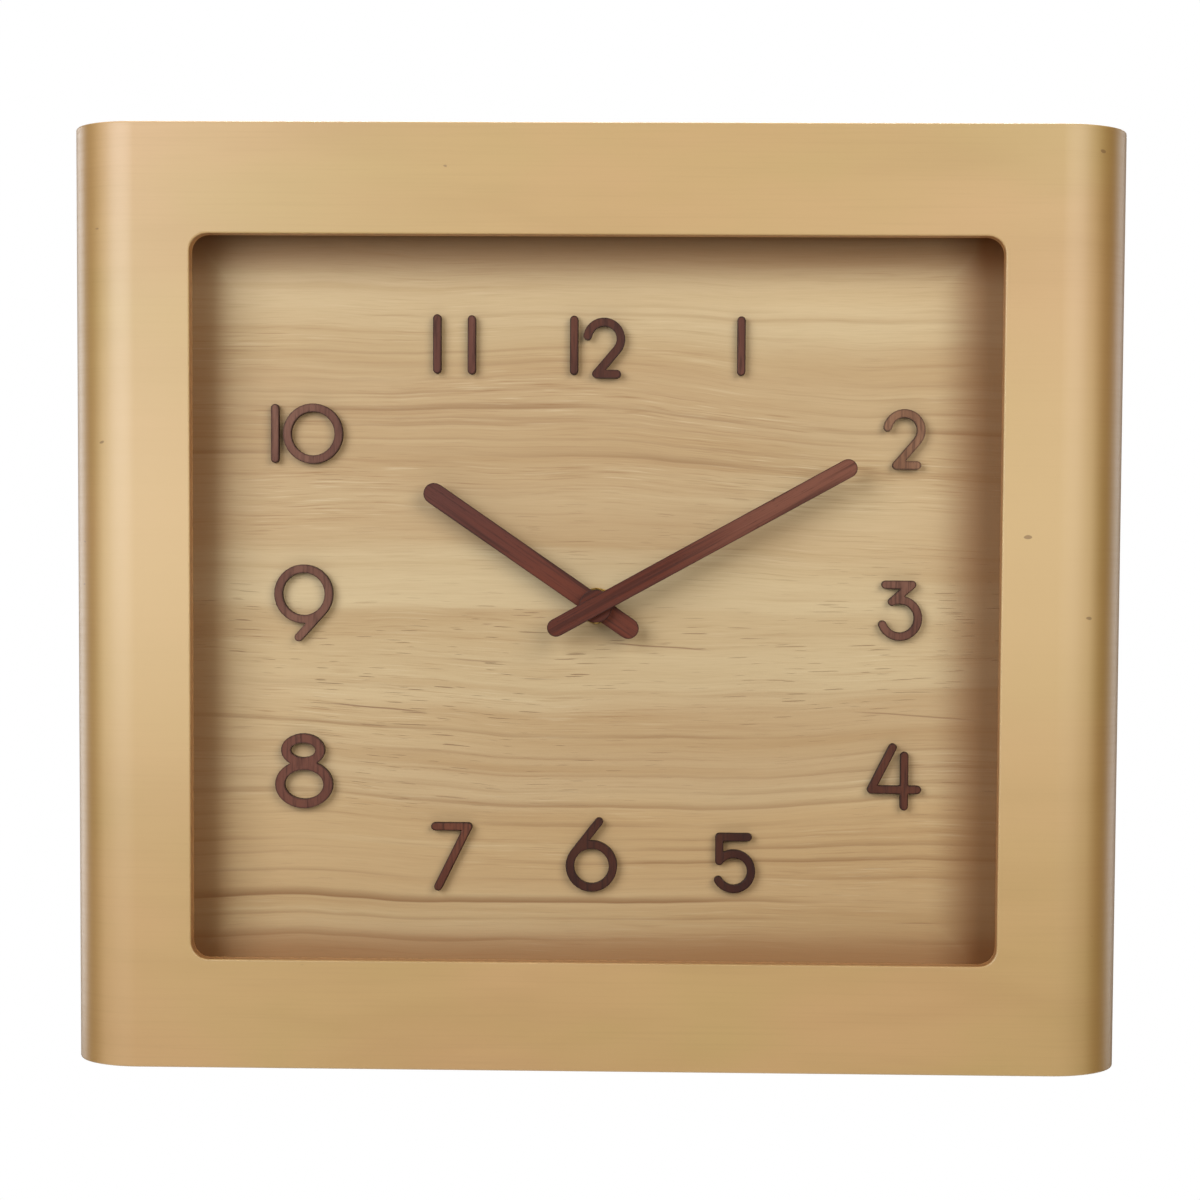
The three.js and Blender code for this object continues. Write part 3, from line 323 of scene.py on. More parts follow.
lying_strip = sawn_wood("sawn_strip_lying", (1, 0, 0), (0, 0, 1))
standing_strip = sawn_wood("sawn_strip_standing", (0, 0, 1), (1, 0, 0))
for name, finish in (
    ("spacer_top", lying_strip),
    ("spacer_bottom", lying_strip),
    ("spacer_left", standing_strip),
    ("spacer_right", standing_strip),
):
    finish.lay_on(nodes[name])
    ease_edges(nodes[name], width=0.0004)


# Dial. A thin panel of open-grained pine, its grain lying across the clock. Long latewood
# lines run over it, falling away to the right above the hands and sagging below them, between
# short dark pores. It is sanded and left matt.

arbor_low, arbor_high = corners_of("minute_arbor")
SHAFT_HEIGHT = (arbor_low.z + arbor_high.z) / 2
DIAL_FRONT = corners_of("dial_panel")[0].y
DIAL_MIDDLE = Vector((0, DIAL_FRONT, SHAFT_HEIGHT))
FORWARD = (0, -1, 0)

# The window, from the dial's middle. Behind its edges painted shade darkens the dial's front: how
# far in from each edge this starts, and how far from the edge it is full.
OPENING_HALF_WIDTH, OPENING_HALF_HEIGHT = 0.15225, 0.1365
OPENING_TOP = CASE_MIDDLE.z - SHAFT_HEIGHT + OPENING_HALF_HEIGHT
OPENING_FOOT = OPENING_TOP - 2 * OPENING_HALF_HEIGHT
BORDER_LEFT = BORDER_FOOT = 0.015
BORDER_RIGHT, BORDER_RIGHT_FULL, BORDER_RIGHT_STRENGTH = 0.025, 0.004, 1.2
BORDER_TOP, BORDER_TOP_FULL = 0.020, 0.002

# The dial's colour changes between the two heights of each pair.
TAN_ABOVE = ((0.012, 0.026), (0.102, 0.084))
TAN_BELOW = ((-0.022, -0.038), (-0.120, -0.090))
BROWN_BELOW = (-0.064, -0.080)
RED_FOOT = (-0.124, -0.140)

# The grain is strongest at these heights and fades over these distances. Above the hands it
# falls away to the right, and below them it sags.
FIGURE_ABOVE, FIGURE_BELOW = (0.065, 0.045), (-0.060, 0.045)
FALL_START, FALL_END, FALL = 0.0, 0.115, 0.0095
SAG_MIDDLE, SAG_WIDTH, SAG = 0.025, 0.090, 0.0065
DRIFT, RIPPLE, ZONE_DRIFT = 0.008, 0.0011, 0.03

# Each latewood line: its height above the dial's middle, how far it fades upward, its strength.
DIAL_RINGS_ABOVE = (
    (0.1105, 0.0016, 0.22),
    (0.0965, 0.0012, 0.20),
    (0.0913, 0.0020, 0.42),
    (0.0864, 0.0010, 0.30),
    (0.0814, 0.0016, 0.38),
    (0.0749, 0.0022, 0.85),
    (0.0714, 0.0010, 0.45),
    (0.0688, 0.0012, 0.55),
    (0.0634, 0.0010, 0.35),
    (0.0573, 0.0030, 0.80),
)
DIAL_RINGS_BELOW = (
    (-0.0304, 0.0024, 0.30),
    (-0.0446, 0.0016, 0.75),
    (-0.0530, 0.0012, 0.40),
    (-0.0600, 0.0012, 0.45),
    (-0.0665, 0.0016, 0.35),
    (-0.0728, 0.0030, 0.55),
    (-0.0806, 0.0024, 0.75),
    (-0.0860, 0.0014, 0.50),
)
DIAL_RINGS_LOWEST = (
    (-0.0905, 0.0022, 0.55),
    (-0.0960, 0.0018, 0.75),
    (-0.1030, 0.0014, 0.50),
    (-0.1128, 0.0036, 1.00),
    (-0.1200, 0.0016, 0.40),
    (-0.1286, 0.0034, 0.55),
)
# Each check, a fine crack along the grain: its left and right ends, its heights there, and its
# strength.
CHECK_WIDTH, CHECK_TAPER, CHECK_RIPPLE = 0.00028, 0.012, 0.0012
DIAL_CHECKS = (
    (-0.108, -0.0625, -0.0377, -0.0416, 1.0),
    (0.001, 0.046, -0.0140, -0.0170, 0.9),
    (0.095, 0.149, -0.0400, -0.0431, 0.7),
    (-0.060, -0.030, -0.0205, -0.0222, 0.6),
    (0.112, 0.137, -0.1214, -0.1214, 0.5),
)
# Each clear pale place: how far across and its width, how far up and its height, and its share.
DIAL_CLEAR = (
    (-0.095, 0.055, -0.030, 0.050, 0.45),
    (-0.135, 0.025, -0.035, 0.040, 0.25),
    (0.100, 0.045, 0.030, 0.055, 0.42),
    (0.100, 0.045, 0.122, 0.015, 0.50),
    (-0.050, 0.085, -0.122, 0.010, 0.55),
)


def growth_rings(finish, height, rings, margin=0.008, crisp=0.0005):
    """Latewood lines seen across the grain: crisp at the lower edge, fading upward."""
    low, high = min(rings)[0] - margin, max(rings)[0] + margin
    share = finish.step("MapRange", {"Value": height, 1: low, 2: high}).outputs[0]
    ramp = finish.step("ValToRGB", {0: share})
    stops = []
    for z, fade, strength in sorted(rings):
        stops += [(z - crisp, 0), (z, strength), (z + fade, 0)]
    marks = ramp.color_ramp.elements
    marks[0].position, marks[0].color = 0, (0, 0, 0, 1)
    marks.remove(marks[1])
    for z, strength in stops:
        mark = marks.new((z - low) / (high - low))
        mark.color = (strength, strength, strength, 1)
    return ramp.outputs[0]


def pine_zones(finish, x, z, edge):
    """Broad zones of colour: pale, tan or brown by height, and red at the foot."""
    above, below = (
        finish.times(*(finish.level(edge, *heights) for heights in pair))
        for pair in (TAN_ABOVE, TAN_BELOW)
    )
    tan = finish.add(above, below)
    brown = finish.level(edge, *BROWN_BELOW)
    red = finish.level(edge, *RED_FOOT)
    body = finish.mix(finish.times(tan, 0.9), "ccb58c", "bfa177")
    body = finish.mix(brown, body, "c3a375")
    body = finish.mix(finish.times(red, 0.4), body, "a67e4e")
    for across, width, up, spread, share in DIAL_CLEAR:
        clear = finish.times(finish.hump(x, across, width), finish.hump(z, up, spread))
        body = finish.mix(finish.times(clear, share), body, "dcc69b")
    return body, red


def pine_grain(finish, body, run, height, figured):
    """The grain, from soft bands and streaks to threads and hairs, with its latewood lines."""
    bands = finish.noise(run, (1.5, 1, 36), detail=2, roughness=0.5)
    body = finish.stain(body, bands, 0.40, 0.68, 0.40, "b3905f")
    body = finish.stain(body, bands, 0.42, 0.30, 0.15, "dac79c")
    streaks = finish.noise(run, (4, 1, 150), detail=2, roughness=0.55)
    body = finish.stain(body, streaks, 0.50, 0.70, 0.26, "a57d4c")
    body = finish.stain(body, streaks, 0.44, 0.30, 0.18, "dfcb9f")

    threads = finish.noise(run, (9, 1, 520), detail=3, roughness=0.6)
    dark_threads = finish.times(finish.level(threads, 0.50, 0.72), finish.add(figured, 0.2))
    body = finish.mix(finish.times(dark_threads, 0.34), body, "a07a50")
    hairs = finish.noise(run, (34, 1, 1500), detail=2, roughness=0.6)
    clumps = finish.level(finish.noise(run, (7, 1, 45), detail=1), 0.42, 0.62, 0.1, 1)
    haired = finish.times(clumps, finish.add(figured, 0.40))
    dark_hairs = finish.times(finish.level(hairs, 0.54, 0.74), haired)
    body = finish.mix(finish.times(dark_hairs, 0.58), body, "9a7246")
    pale_hairs = finish.times(finish.level(hairs, 0.44, 0.28), haired)
    body = finish.mix(finish.times(pale_hairs, 0.42), body, "dfcca6")

    broken = finish.noise(run, (6, 1, 75), detail=2)
    whole = finish.level(broken, 0.38, 0.60, 0.05, 1)
    for rings, share in (
        (DIAL_RINGS_ABOVE, 0.70),
        (DIAL_RINGS_BELOW, 0.80),
        (DIAL_RINGS_LOWEST, 0.85),
    ):
        dark = finish.times(growth_rings(finish, height, rings), whole)
        body = finish.mix(finish.times(dark, share), body, "8a6238")
    return body


def pine_pores(finish, x, z, place, straight, ripple):
    """Short dark pores, thickest below the hands, and a few long fine cracks."""
    patches = finish.level(finish.noise(place, (9, 1, 26), detail=1), 0.36, 0.72, 0.2, 0.9)
    middle = finish.hump(z, -0.022, 0.06)
    specks = finish.noise(straight, (62, 1, 2050), detail=1, roughness=0.3)
    pores = finish.times(finish.level(specks, 0.675, 0.73), patches, finish.add(middle, 0.15))
    for left, right, start, end, strength in DIAL_CHECKS:
        slope = (end - start) / (right - left)
        line = finish.less(z, finish.add(finish.times(finish.less(x, left), slope), start))
        line = finish.add(line, finish.times(ripple, CHECK_RIPPLE))
        span = finish.times(
            finish.level(x, left, left + CHECK_TAPER), finish.level(x, right, right - CHECK_TAPER)
        )
        check = finish.times(finish.hump(line, 0, CHECK_WIDTH), span, strength)
        pores = finish.largest(pores, check)
    return pores


def painted_recess_shade(finish, x, z):
    """Painted shade: how dark the dial's front is made close behind the edges of the window."""
    left, right = -OPENING_HALF_WIDTH, OPENING_HALF_WIDTH
    start, full = right - BORDER_RIGHT, right - BORDER_RIGHT_FULL
    sides = finish.add(
        finish.level(x, left + BORDER_LEFT, left),
        finish.level(x, start, full, 0, BORDER_RIGHT_STRENGTH),
    )
    ends = finish.largest(
        finish.level(z, OPENING_FOOT + BORDER_FOOT, OPENING_FOOT),
        finish.level(z, OPENING_TOP - BORDER_TOP, OPENING_TOP - BORDER_TOP_FULL),
    )
    recess_shade = finish.add(
        finish.times(finish.largest(sides, ends), 0.6), finish.times(sides, ends, 0.25)
    )
    facing = finish.step("TexCoord", {}).outputs["Normal"]
    return finish.times(recess_shade, finish.level(finish.along(facing, FORWARD), 0.4, 0.6))


def dial_pine():
    finish = Finish("dial_pine", {"Roughness": 0.62})
    place = finish.place(DIAL_MIDDLE)
    x, _, z = finish.axes(place)
    above, below = finish.hump(z, *FIGURE_ABOVE), finish.hump(z, *FIGURE_BELOW)
    fall = finish.times(finish.level(x, FALL_START, FALL_END), above, FALL)
    sag = finish.times(finish.hump(x, SAG_MIDDLE, SAG_WIDTH), below, SAG)
    drift = finish.less(finish.noise(place, (11, 1, 16), detail=1), 0.5)
    ripple = finish.less(finish.noise(place, (42, 1, 60), detail=1), 0.5)
    bends = finish.add(z, fall, sag, finish.times(drift, DRIFT))
    height = finish.add(bends, finish.times(ripple, RIPPLE))
    run, straight = finish.join(x, 0, height), finish.join(x, 0, bends)

    edge = finish.add(z, finish.times(drift, ZONE_DRIFT), sag)
    body, red = pine_zones(finish, x, z, edge)
    figured = finish.add(above, finish.times(below, 0.7), red)
    body = pine_grain(finish, body, run, height, figured)
    pores = pine_pores(finish, x, z, place, straight, ripple)
    body = finish.mix(finish.times(pores, 0.75), body, "80593a")
    fibres = finish.noise(run, (60, 1, 3200), detail=2, roughness=0.7)
    body = finish.stain(body, fibres, 0.4, 0.8, 0.14, "8d6a45")
    # Painted shade: the dial's front is browned behind the window's edges.
    body = finish.mix(painted_recess_shade(finish, x, z), body, "8c5a2c")

    grooves = finish.add(finish.times(pores, -1), finish.times(fibres, 0.12))
    finish.set("Base Color", body)
    finish.set("Roughness", finish.level(fibres, 0.3, 0.8, 0.55, 0.7))
    finish.set("Normal", finish.relief(grooves, depth=0.00012))
    return finish


dial_pine().lay_on(nodes["dial_panel"])
ease_edges(nodes["dial_panel"], width=0.0004)


# Screws and hanger plate. Zinc-plated slotted screws hold the dial and the hanger, which is a
# pressed steel plate with a keyhole, laid over a pocket in a softwood rail.


def zinc(name):
    """Zinc plating on steel: a cool bright grey with faint spangle and fine scratches."""
    finish = Finish(name, {"Metallic": 1.0, "Roughness": 0.35})
    place = finish.place()
    spangle = finish.noise(place, 350, detail=2)
    scratches = finish.noise(place, (90, 90, 2600), detail=2, roughness=0.7)
    body = finish.mix(finish.level(spangle, 0.35, 0.65), "b2b5b9", "979a9f")
    finish.set("Base Color", body)
    finish.set("Roughness", finish.level(scratches, 0.3, 0.75, 0.36, 0.54))
    finish.set("Normal", finish.relief(scratches, depth=0.00001))
    return finish


plating = zinc("zinc_plating")
for name in (
    "hanger_plate",
    "hanger_screw_left",
    "hanger_screw_right",
    "dial_screw_upper_left",
    "dial_screw_upper_right",
    "dial_screw_lower_left",
    "dial_screw_lower_right",
):
    plating.lay_on(nodes[name])
    ease_edges(nodes[name], width=0.0003)
lying_strip.lay_on(nodes["hanging_rail"])
ease_edges(nodes["hanging_rail"], width=0.0006)


# Numerals. Each figure is sawn from an offcut of dark wood, so its brown differs a little from
# its neighbour's. Its grain stands upright and its sawn edges are darker; it is sanded and glued
# on.

# Each offcut: its lighter and darker brown, and the colour of its streaks.
OFFCUTS = {
    "mid": ("6e4234", "5c3327", "3a1e16"),
    "light": ("7a5343", "684134", "44281f"),
    "pale": ("90694f", "7e5840", "553629"),
    "red": ("6f3f2c", "5e3121", "35190f"),
    "deep": ("5f3424", "4e281b", "30160f"),
    "dark": ("4a2619", "3b1b12", "240f0a"),
}
NUMERAL_OFFCUTS = {
    "numeral_1": "mid",
    "numeral_2": "pale",
    "numeral_3": "light",
    "numeral_4": "deep",
    "numeral_5": "dark",
    "numeral_6": "dark",
    "numeral_7": "red",
    "numeral_8": "mid",
    "numeral_9": "light",
    "numeral_10_one": "light",
    "numeral_10_zero": "light",
    "numeral_11_left": "mid",
    "numeral_11_right": "mid",
    "numeral_12_one": "deep",
    "numeral_12_two": "deep",
}
WORN_EDGE = 0.0014
NUMERAL_EDGE_SHARE = 0.9


def sawn_edge(finish, body, share):
    """Darkens the sawn sides and the worn corners of a piece that faces forward."""
    corner = finish.step("Bevel", {"Radius": WORN_EDGE}, samples=6).outputs[0]
    edge = finish.level(finish.along(corner, FORWARD), 0.97, 0.80, 0, share)
    return finish.mix(edge, body, "2a1510")


def numeral_wood(name, light, dark, streak):
    finish = Finish(name, {"Roughness": 0.55, "Specular IOR Level": 0.3})
    place = finish.place(DIAL_MIDDLE)
    drift = finish.noise(place, (60, 60, 25), detail=1)
    grain = finish.noise(place, (900, 900, 70), detail=3, roughness=0.65, wander=0.2)
    pores = finish.noise(place, (2600, 2600, 260), detail=1)
    body = finish.mix(finish.level(drift, 0.35, 0.65), light, dark)
    body = finish.stain(body, grain, 0.45, 0.72, 0.75, streak)
    body = finish.stain(body, pores, 0.66, 0.78, 0.5, streak)
    finish.set("Base Color", sawn_edge(finish, body, NUMERAL_EDGE_SHARE))
    finish.set("Roughness", finish.level(grain, 0.3, 0.8, 0.46, 0.66))
    finish.set("Normal", finish.relief(finish.less(grain, pores), depth=0.00006))
    return finish


offcut_finishes = {
    name: numeral_wood("numeral_wood_" + name, *shades) for name, shades in OFFCUTS.items()
}
for name, offcut in NUMERAL_OFFCUTS.items():
    offcut_finishes[offcut].lay_on(nodes[name])
    ease_edges(nodes[name], width=0.0005)


# Movement case. A box and a rear cover of black plastic, moulded with a fine matt texture. The
# cover is clipped on behind the wheels.


def moulded(name, light, dark, shine, texture, depth):
    """Moulded plastic with a very fine surface texture and slightly uneven shine."""
    finish = Finish(name, {"Roughness": shine})
    place = finish.place()
    cloud = finish.noise(place, 60, detail=2)
    fine = finish.noise(place, texture, detail=2, roughness=0.6)
    body = finish.mix(finish.level(cloud, 0.3, 0.7), light, dark)
    finish.set("Base Color", body)
    finish.set("Roughness", finish.level(fine, 0.3, 0.7, shine - 0.06, shine + 0.08))
    finish.set("Normal", finish.relief(fine, depth))
    return finish


black_plastic = moulded("black_plastic", "26262a", "1c1c1f", shine=0.5, texture=4200, depth=0.00003)
for name in ("movement_housing", "movement_rear_cover"):
    black_plastic.lay_on(nodes[name])
    ease_edges(nodes[name], width=0.0003, segments=2)


# Marks on the cover. The mould leaves a few low ridges on the rear cover: a plus and a minus
# over the ends of the cell, an arrow round the setting knob, and a blank framed panel. Four
# clips on the sides of the box hold the cover on.

cover_corner = corners_of("movement_rear_cover")[1]
knob_low, knob_high = corners_of("setting_knob")
COVER_BACK = cover_corner.y
HOUSING_HALF = cover_corner.x
KNOB_MIDDLE = ((knob_low.x + knob_high.x) / 2, (knob_low.z + knob_high.z) / 2)
RIDGE = 0.0005
SUNK = 0.0001
CELL_MARK_HEIGHT = SHAFT_HEIGHT - 0.0086
PLUS, MINUS = -0.0225, 0.0225
MARK_REACH, MARK_HALF_STROKE = 0.0016, 0.0004
ARROW_INNER, ARROW_OUTER, ARROW_BARB = 0.0066, 0.0072, 0.0008
# The arrow's start, the foot of its head and its point, in degrees round the knob.
ARROW_START, ARROW_END, ARROW_POINT = 200, 335, 351
PANEL_MIDDLE = (0.0085, SHAFT_HEIGHT + 0.0089)
PANEL_HALF_WIDTH, PANEL_HALF_HEIGHT = 0.0130, 0.0110
PANEL_CORNER, PANEL_LINE = 0.0015, 0.0005
CLIP_HEIGHTS = (SHAFT_HEIGHT + 0.0184, SHAFT_HEIGHT - 0.0046)
CLIP_HALF_WIDTH, CLIP_THICKNESS, CLIP_REACH = 0.0035, 0.0009, 0.0055
CLIP_FOOT, CLIP_LEAD, CLIP_NOSE = 0.0002, 0.0022, 0.0008


def lift(shape, outline, front, back, hole=None):
    """Adds a flat-topped ridge over an outline in the plane of the cover, or over a loop of it."""
    loops = [outline] if hole is None else [outline, hole]
    rims = []
    for loop in loops:
        low = [shape.verts.new((x, front, z)) for x, z in loop]
        high = [shape.verts.new((x, back, z)) for x, z in loop]
        rims.append((low, high))
        for i in range(len(loop)):
            j = (i + 1) % len(loop)
            shape.faces.new((low[i], low[j], high[j], high[i]))
    if hole is None:
        shape.faces.new(rims[0][1])
        shape.faces.new(rims[0][0])
        return
    for side in (0, 1):
        outer, inner = rims[0][side], rims[1][side]
        for i in range(len(outer)):
            j = (i + 1) % len(outer)
            shape.faces.new((outer[i], outer[j], inner[j], inner[i]))


def rounded(middle, half_width, half_height, corner, steps=5):
    """The outline of a rectangle with round corners."""
    points = []
    for quarter in range(4):
        right = 1 if quarter in (0, 3) else -1
        up = 1 if quarter < 2 else -1
        x = middle[0] + right * (half_width - corner)
        z = middle[1] + up * (half_height - corner)
        for step in range(steps + 1):
            angle = math.radians(90 * (quarter + step / steps))
            points.append((x + corner * math.cos(angle), z + corner * math.sin(angle)))
    return points


def arc(middle, radius, start, end, steps=24):
    turns = [math.radians(start + (end - start) * i / steps) for i in range(steps + 1)]
    return [(middle[0] + radius * math.cos(t), middle[1] + radius * math.sin(t)) for t in turns]


def finished_piece(name, shape, body, finishes):
    """Makes a piece out of its shape, with its finishes, and lets it ride on its body."""
    bmesh.ops.recalc_face_normals(shape, faces=shape.faces)
    mesh = bpy.data.meshes.new(name)
    shape.to_mesh(mesh)
    shape.free()
    piece = bpy.data.objects.new(name, mesh)
    bpy.context.scene.collection.objects.link(piece)
    for finish in finishes:
        mesh.materials.append(finish.material)
    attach(piece, body)
    return piece


def cover_marks():
    shape = bmesh.new()
    front, back = COVER_BACK - SUNK, COVER_BACK + RIDGE
    bar, stem = MARK_REACH, MARK_HALF_STROKE
    cross = [
        (-bar, -stem), (-stem, -stem), (-stem, -bar), (stem, -bar), (stem, -stem), (bar, -stem),
        (bar, stem), (stem, stem), (stem, bar), (-stem, bar), (-stem, stem), (-bar, stem),
    ]
    lift(shape, [(PLUS + x, CELL_MARK_HEIGHT + z) for x, z in cross], front, back)
    dash = [(-bar, -stem), (bar, -stem), (bar, stem), (-bar, stem)]
    lift(shape, [(MINUS + x, CELL_MARK_HEIGHT + z) for x, z in dash], front, back)
    outer_arc = arc(KNOB_MIDDLE, ARROW_OUTER, ARROW_START, ARROW_END)
    inner_arc = arc(KNOB_MIDDLE, ARROW_INNER, ARROW_END, ARROW_START)
    lift(shape, outer_arc + inner_arc, front, back)
    head = [
        (ARROW_OUTER + ARROW_BARB, ARROW_END),
        (ARROW_INNER - ARROW_BARB, ARROW_END),
        ((ARROW_INNER + ARROW_OUTER) / 2, ARROW_POINT),
    ]
    head = [arc(KNOB_MIDDLE, radius, turn, turn, steps=1)[0] for radius, turn in head]
    lift(shape, head, front, back)
    frames = [
        rounded(
            PANEL_MIDDLE, PANEL_HALF_WIDTH - inset, PANEL_HALF_HEIGHT - inset, PANEL_CORNER - inset
        )
        for inset in (0, PANEL_LINE)
    ]
    lift(shape, frames[0], front, back, hole=frames[1])
    piece = finished_piece("cover_marks", shape, "case", [black_plastic])
    ease_edges(piece, width=0.0001, segments=1)


def cover_clips():
    shape = bmesh.new()
    tip = COVER_BACK - SUNK
    root = tip - CLIP_REACH
    for side in (-1, 1):
        wall = side * (HOUSING_HALF - CLIP_FOOT)
        skin = side * HOUSING_HALF
        face = side * (HOUSING_HALF + CLIP_THICKNESS)
        profile = [
            (wall, tip), (wall, root), (skin, root),
            (face, root + CLIP_LEAD), (face, tip - CLIP_NOSE), (skin, tip),
        ]
        for z in CLIP_HEIGHTS:
            ends = []
            for edge in (z - CLIP_HALF_WIDTH, z + CLIP_HALF_WIDTH):
                ends.append([shape.verts.new((x, y, edge)) for x, y in profile])
                shape.faces.new(ends[-1])
            for i in range(len(profile)):
                j = (i + 1) % len(profile)
                shape.faces.new((ends[0][i], ends[0][j], ends[1][j], ends[1][i]))
    piece = finished_piece("cover_clips", shape, "case", [black_plastic])
    ease_edges(piece, width=0.0002, segments=2)


cover_marks()
cover_clips()


# Train. The middle plate, wheels and setting knob are smooth white mouldings; the minute
# arbor is turned brass.

white_plastic = moulded("white_plastic", "ebe8df", "dfdbd0", shine=0.38, texture=900, depth=0.000006)
for name in (
    "middle_plate",
    "hour_wheel",
    "motion_wheel",
    "centre_wheel",
    "third_wheel",
    "seconds_wheel",
    "fifth_wheel",
    "setting_knob",
):
    white_plastic.lay_on(nodes[name])


def turned_brass():
    finish = Finish("turned_brass", {"Metallic": 1.0, "Roughness": 0.28})
    place = finish.place(DIAL_MIDDLE)
    across, _, up = finish.axes(place)
    radius = finish.distance(across, up)
    turning = finish.noise(finish.join(radius, 0, 0), (9000, 1, 1), detail=2)
    tarnish = finish.noise(place, 240, detail=3)
    body = finish.mix(finish.level(tarnish, 0.35, 0.7), "dcbb6c", "b8934a")
    finish.set("Base Color", body)
    finish.set("Roughness", finish.level(turning, 0.3, 0.7, 0.2, 0.4))
    finish.set("Normal", finish.relief(turning, depth=0.000012))
    return finish


brass = turned_brass()
brass.lay_on(nodes["minute_arbor"])


# Motor. A sintered magnet turns in a stamped iron stator, whose core passes through a coil of
# enamelled copper wire wound on a white bobbin.

WIRE_PITCH = 0.00022

iron = zinc("plain_iron")
for name in ("rotor", "stator", "coil_core"):
    iron.lay_on(nodes[name])


def wound_copper():
    finish = Finish("enamelled_copper", {"Metallic": 0.6, "Roughness": 0.35})
    place = finish.place()
    turns = finish.times(finish.along(place, (1, 0, 0)), 2 * math.pi / WIRE_PITCH)
    wire = finish.step("Math", {0: turns}, operation="SINE")
    cloud = finish.noise(place, (500, 120, 120), detail=2)
    body = finish.mix(finish.level(cloud, 0.35, 0.65), "b8683a", "94481f")
    finish.set("Base Color", body)
    finish.set("Normal", finish.relief(wire.outputs[0], depth=0.00004))
    return finish


wound_copper().lay_on(nodes["coil_winding"])
white_plastic.lay_on(nodes["coil_bobbin"])


# Circuit board and crystal. A green board carries copper tracks under its mask, and a small
# can of bright metal lies on it.


def masked_board():
    finish = Finish("circuit_board", {"Roughness": 0.3})
    place = finish.place()
    tracks = finish.noise(place, 420, detail=0)
    lit = finish.hump(tracks, 0.5, 0.03)
    body = finish.mix(lit, "1f4f2f", "3c7a46")
    finish.set("Base Color", body)
    finish.set("Normal", finish.relief(lit, depth=0.00003))
    return finish


masked_board().lay_on(nodes["circuit_board"])
plating.lay_on(nodes["quartz_crystal"])


# Contacts and cell. Two leaves of springy plated steel press on the ends of a cell. Its can is
# crimped over a steel cap at one end and a flat disc at the other, inside a plain jacket.

for name in ("positive_contact", "negative_contact"):
    plating.lay_on(nodes[name])

cell_low, cell_high = corners_of("battery")
CELL_AXIS = (cell_low + cell_high) / 2
# The cell's outline, from the middle of the raised cap to the middle of the flat disc: how far
# along, and how far from the axis. The jacket covers its bands between the two crimped rims.
CELL_PROFILE = [
    (-0.02620, 0), (-0.02620, 0.00230), (-0.02605, 0.00260), (-0.02580, 0.00275),
    (-0.02505, 0.00275), (-0.02485, 0.00295), (-0.02475, 0.00360), (-0.02470, 0.00570),
    (-0.02490, 0.00605), (-0.02490, 0.00660), (-0.02470, 0.00700), (-0.02430, 0.00720),
    (-0.02380, 0.00725), (0, 0.00725), (0.02320, 0.00725), (0.02370, 0.00720),
    (0.02410, 0.00700), (0.02428, 0.00660), (0.02428, 0.00610), (0.02410, 0.00580),
    (0.02410, 0.00460), (0.02430, 0.00430), (0.02430, 0),
]
JACKET_BANDS = range(9, 18)
PALE_RING = (-0.0182, -0.0168)
PALE_RING_EDGE = 0.0002


def turned(rings, place, sides=72, loop=False):
    """A turned shape from rings, each of a place along its axis and a radius or radius by angle.

    It gives the shape and its bands of faces, each between one ring and the next.
    """
    shape = bmesh.new()
    rows = []
    for along, radius in rings:
        if radius == 0:
            rows.append([shape.verts.new(place(along, 0, 0))])
            continue
        row = []
        for side in range(sides):
            turn = 2 * math.pi * side / sides
            reach = radius(turn) if callable(radius) else radius
            point = place(along, reach * math.cos(turn), reach * math.sin(turn))
            row.append(shape.verts.new(point))
        rows.append(row)
    following = rows[1:] + (rows[:1] if loop else [])
    bands = []
    for first, second in zip(rows, following):
        band = []
        for i in range(sides):
            j = (i + 1) % sides
            a = [first[i % len(first)], first[j % len(first)]]
            b = [second[j % len(second)], second[i % len(second)]]
            corners = list(dict.fromkeys(a + b))
            band.append(shape.faces.new(corners))
        bands.append(band)
    return shape, bands


def cell_jacket():
    """A printed plastic sleeve: slate blue, with one pale ring towards the raised end."""
    finish = Finish("cell_jacket", {"Roughness": 0.28, "Coat Weight": 0.5, "Coat Roughness": 0.2})
    place = finish.place()
    x = finish.along(place, (1, 0, 0))
    cloud = finish.noise(place, 220, detail=2)
    start, end = PALE_RING
    ring = finish.times(
        finish.level(x, start, start + PALE_RING_EDGE),
        finish.level(x, end - PALE_RING_EDGE, end, 1, 0),
    )
    scuffs = finish.noise(place, (1500, 160, 160), detail=2)
    body = finish.mix(finish.level(cloud, 0.35, 0.65), "3b4657", "323c4b")
    body = finish.mix(ring, body, "b9bdc2")
    body = finish.stain(body, scuffs, 0.66, 0.74, 0.3, "8d949d")
    finish.set("Base Color", body)
    finish.set("Roughness", finish.level(scuffs, 0.4, 0.8, 0.22, 0.42))
    return finish


def dry_cell():
    shape, bands = turned(CELL_PROFILE, lambda x, y, z: (x, CELL_AXIS.y + y, CELL_AXIS.z + z))
    for number, band in enumerate(bands):
        for face in band:
            face.material_index = 0 if number in JACKET_BANDS else 1
    piece = finished_piece("cell", shape, "cell", [cell_jacket(), plating])
    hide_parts("battery")
    shade_smooth(piece)


dry_cell()


# Washers and nut. A rubber washer grips the dial's back. On the front a brass washer and a
# hexagon nut with chamfered corners draw the threaded bush tight.

rubber = moulded("rubber", "2b2b2b", "202020", shine=0.8, texture=2600, depth=0.00004)
rubber.lay_on(nodes["rubber_washer"])
brass.lay_on(nodes["flat_washer"])
for name in ("rubber_washer", "flat_washer"):
    ease_edges(nodes[name], width=0.0002, segments=2)

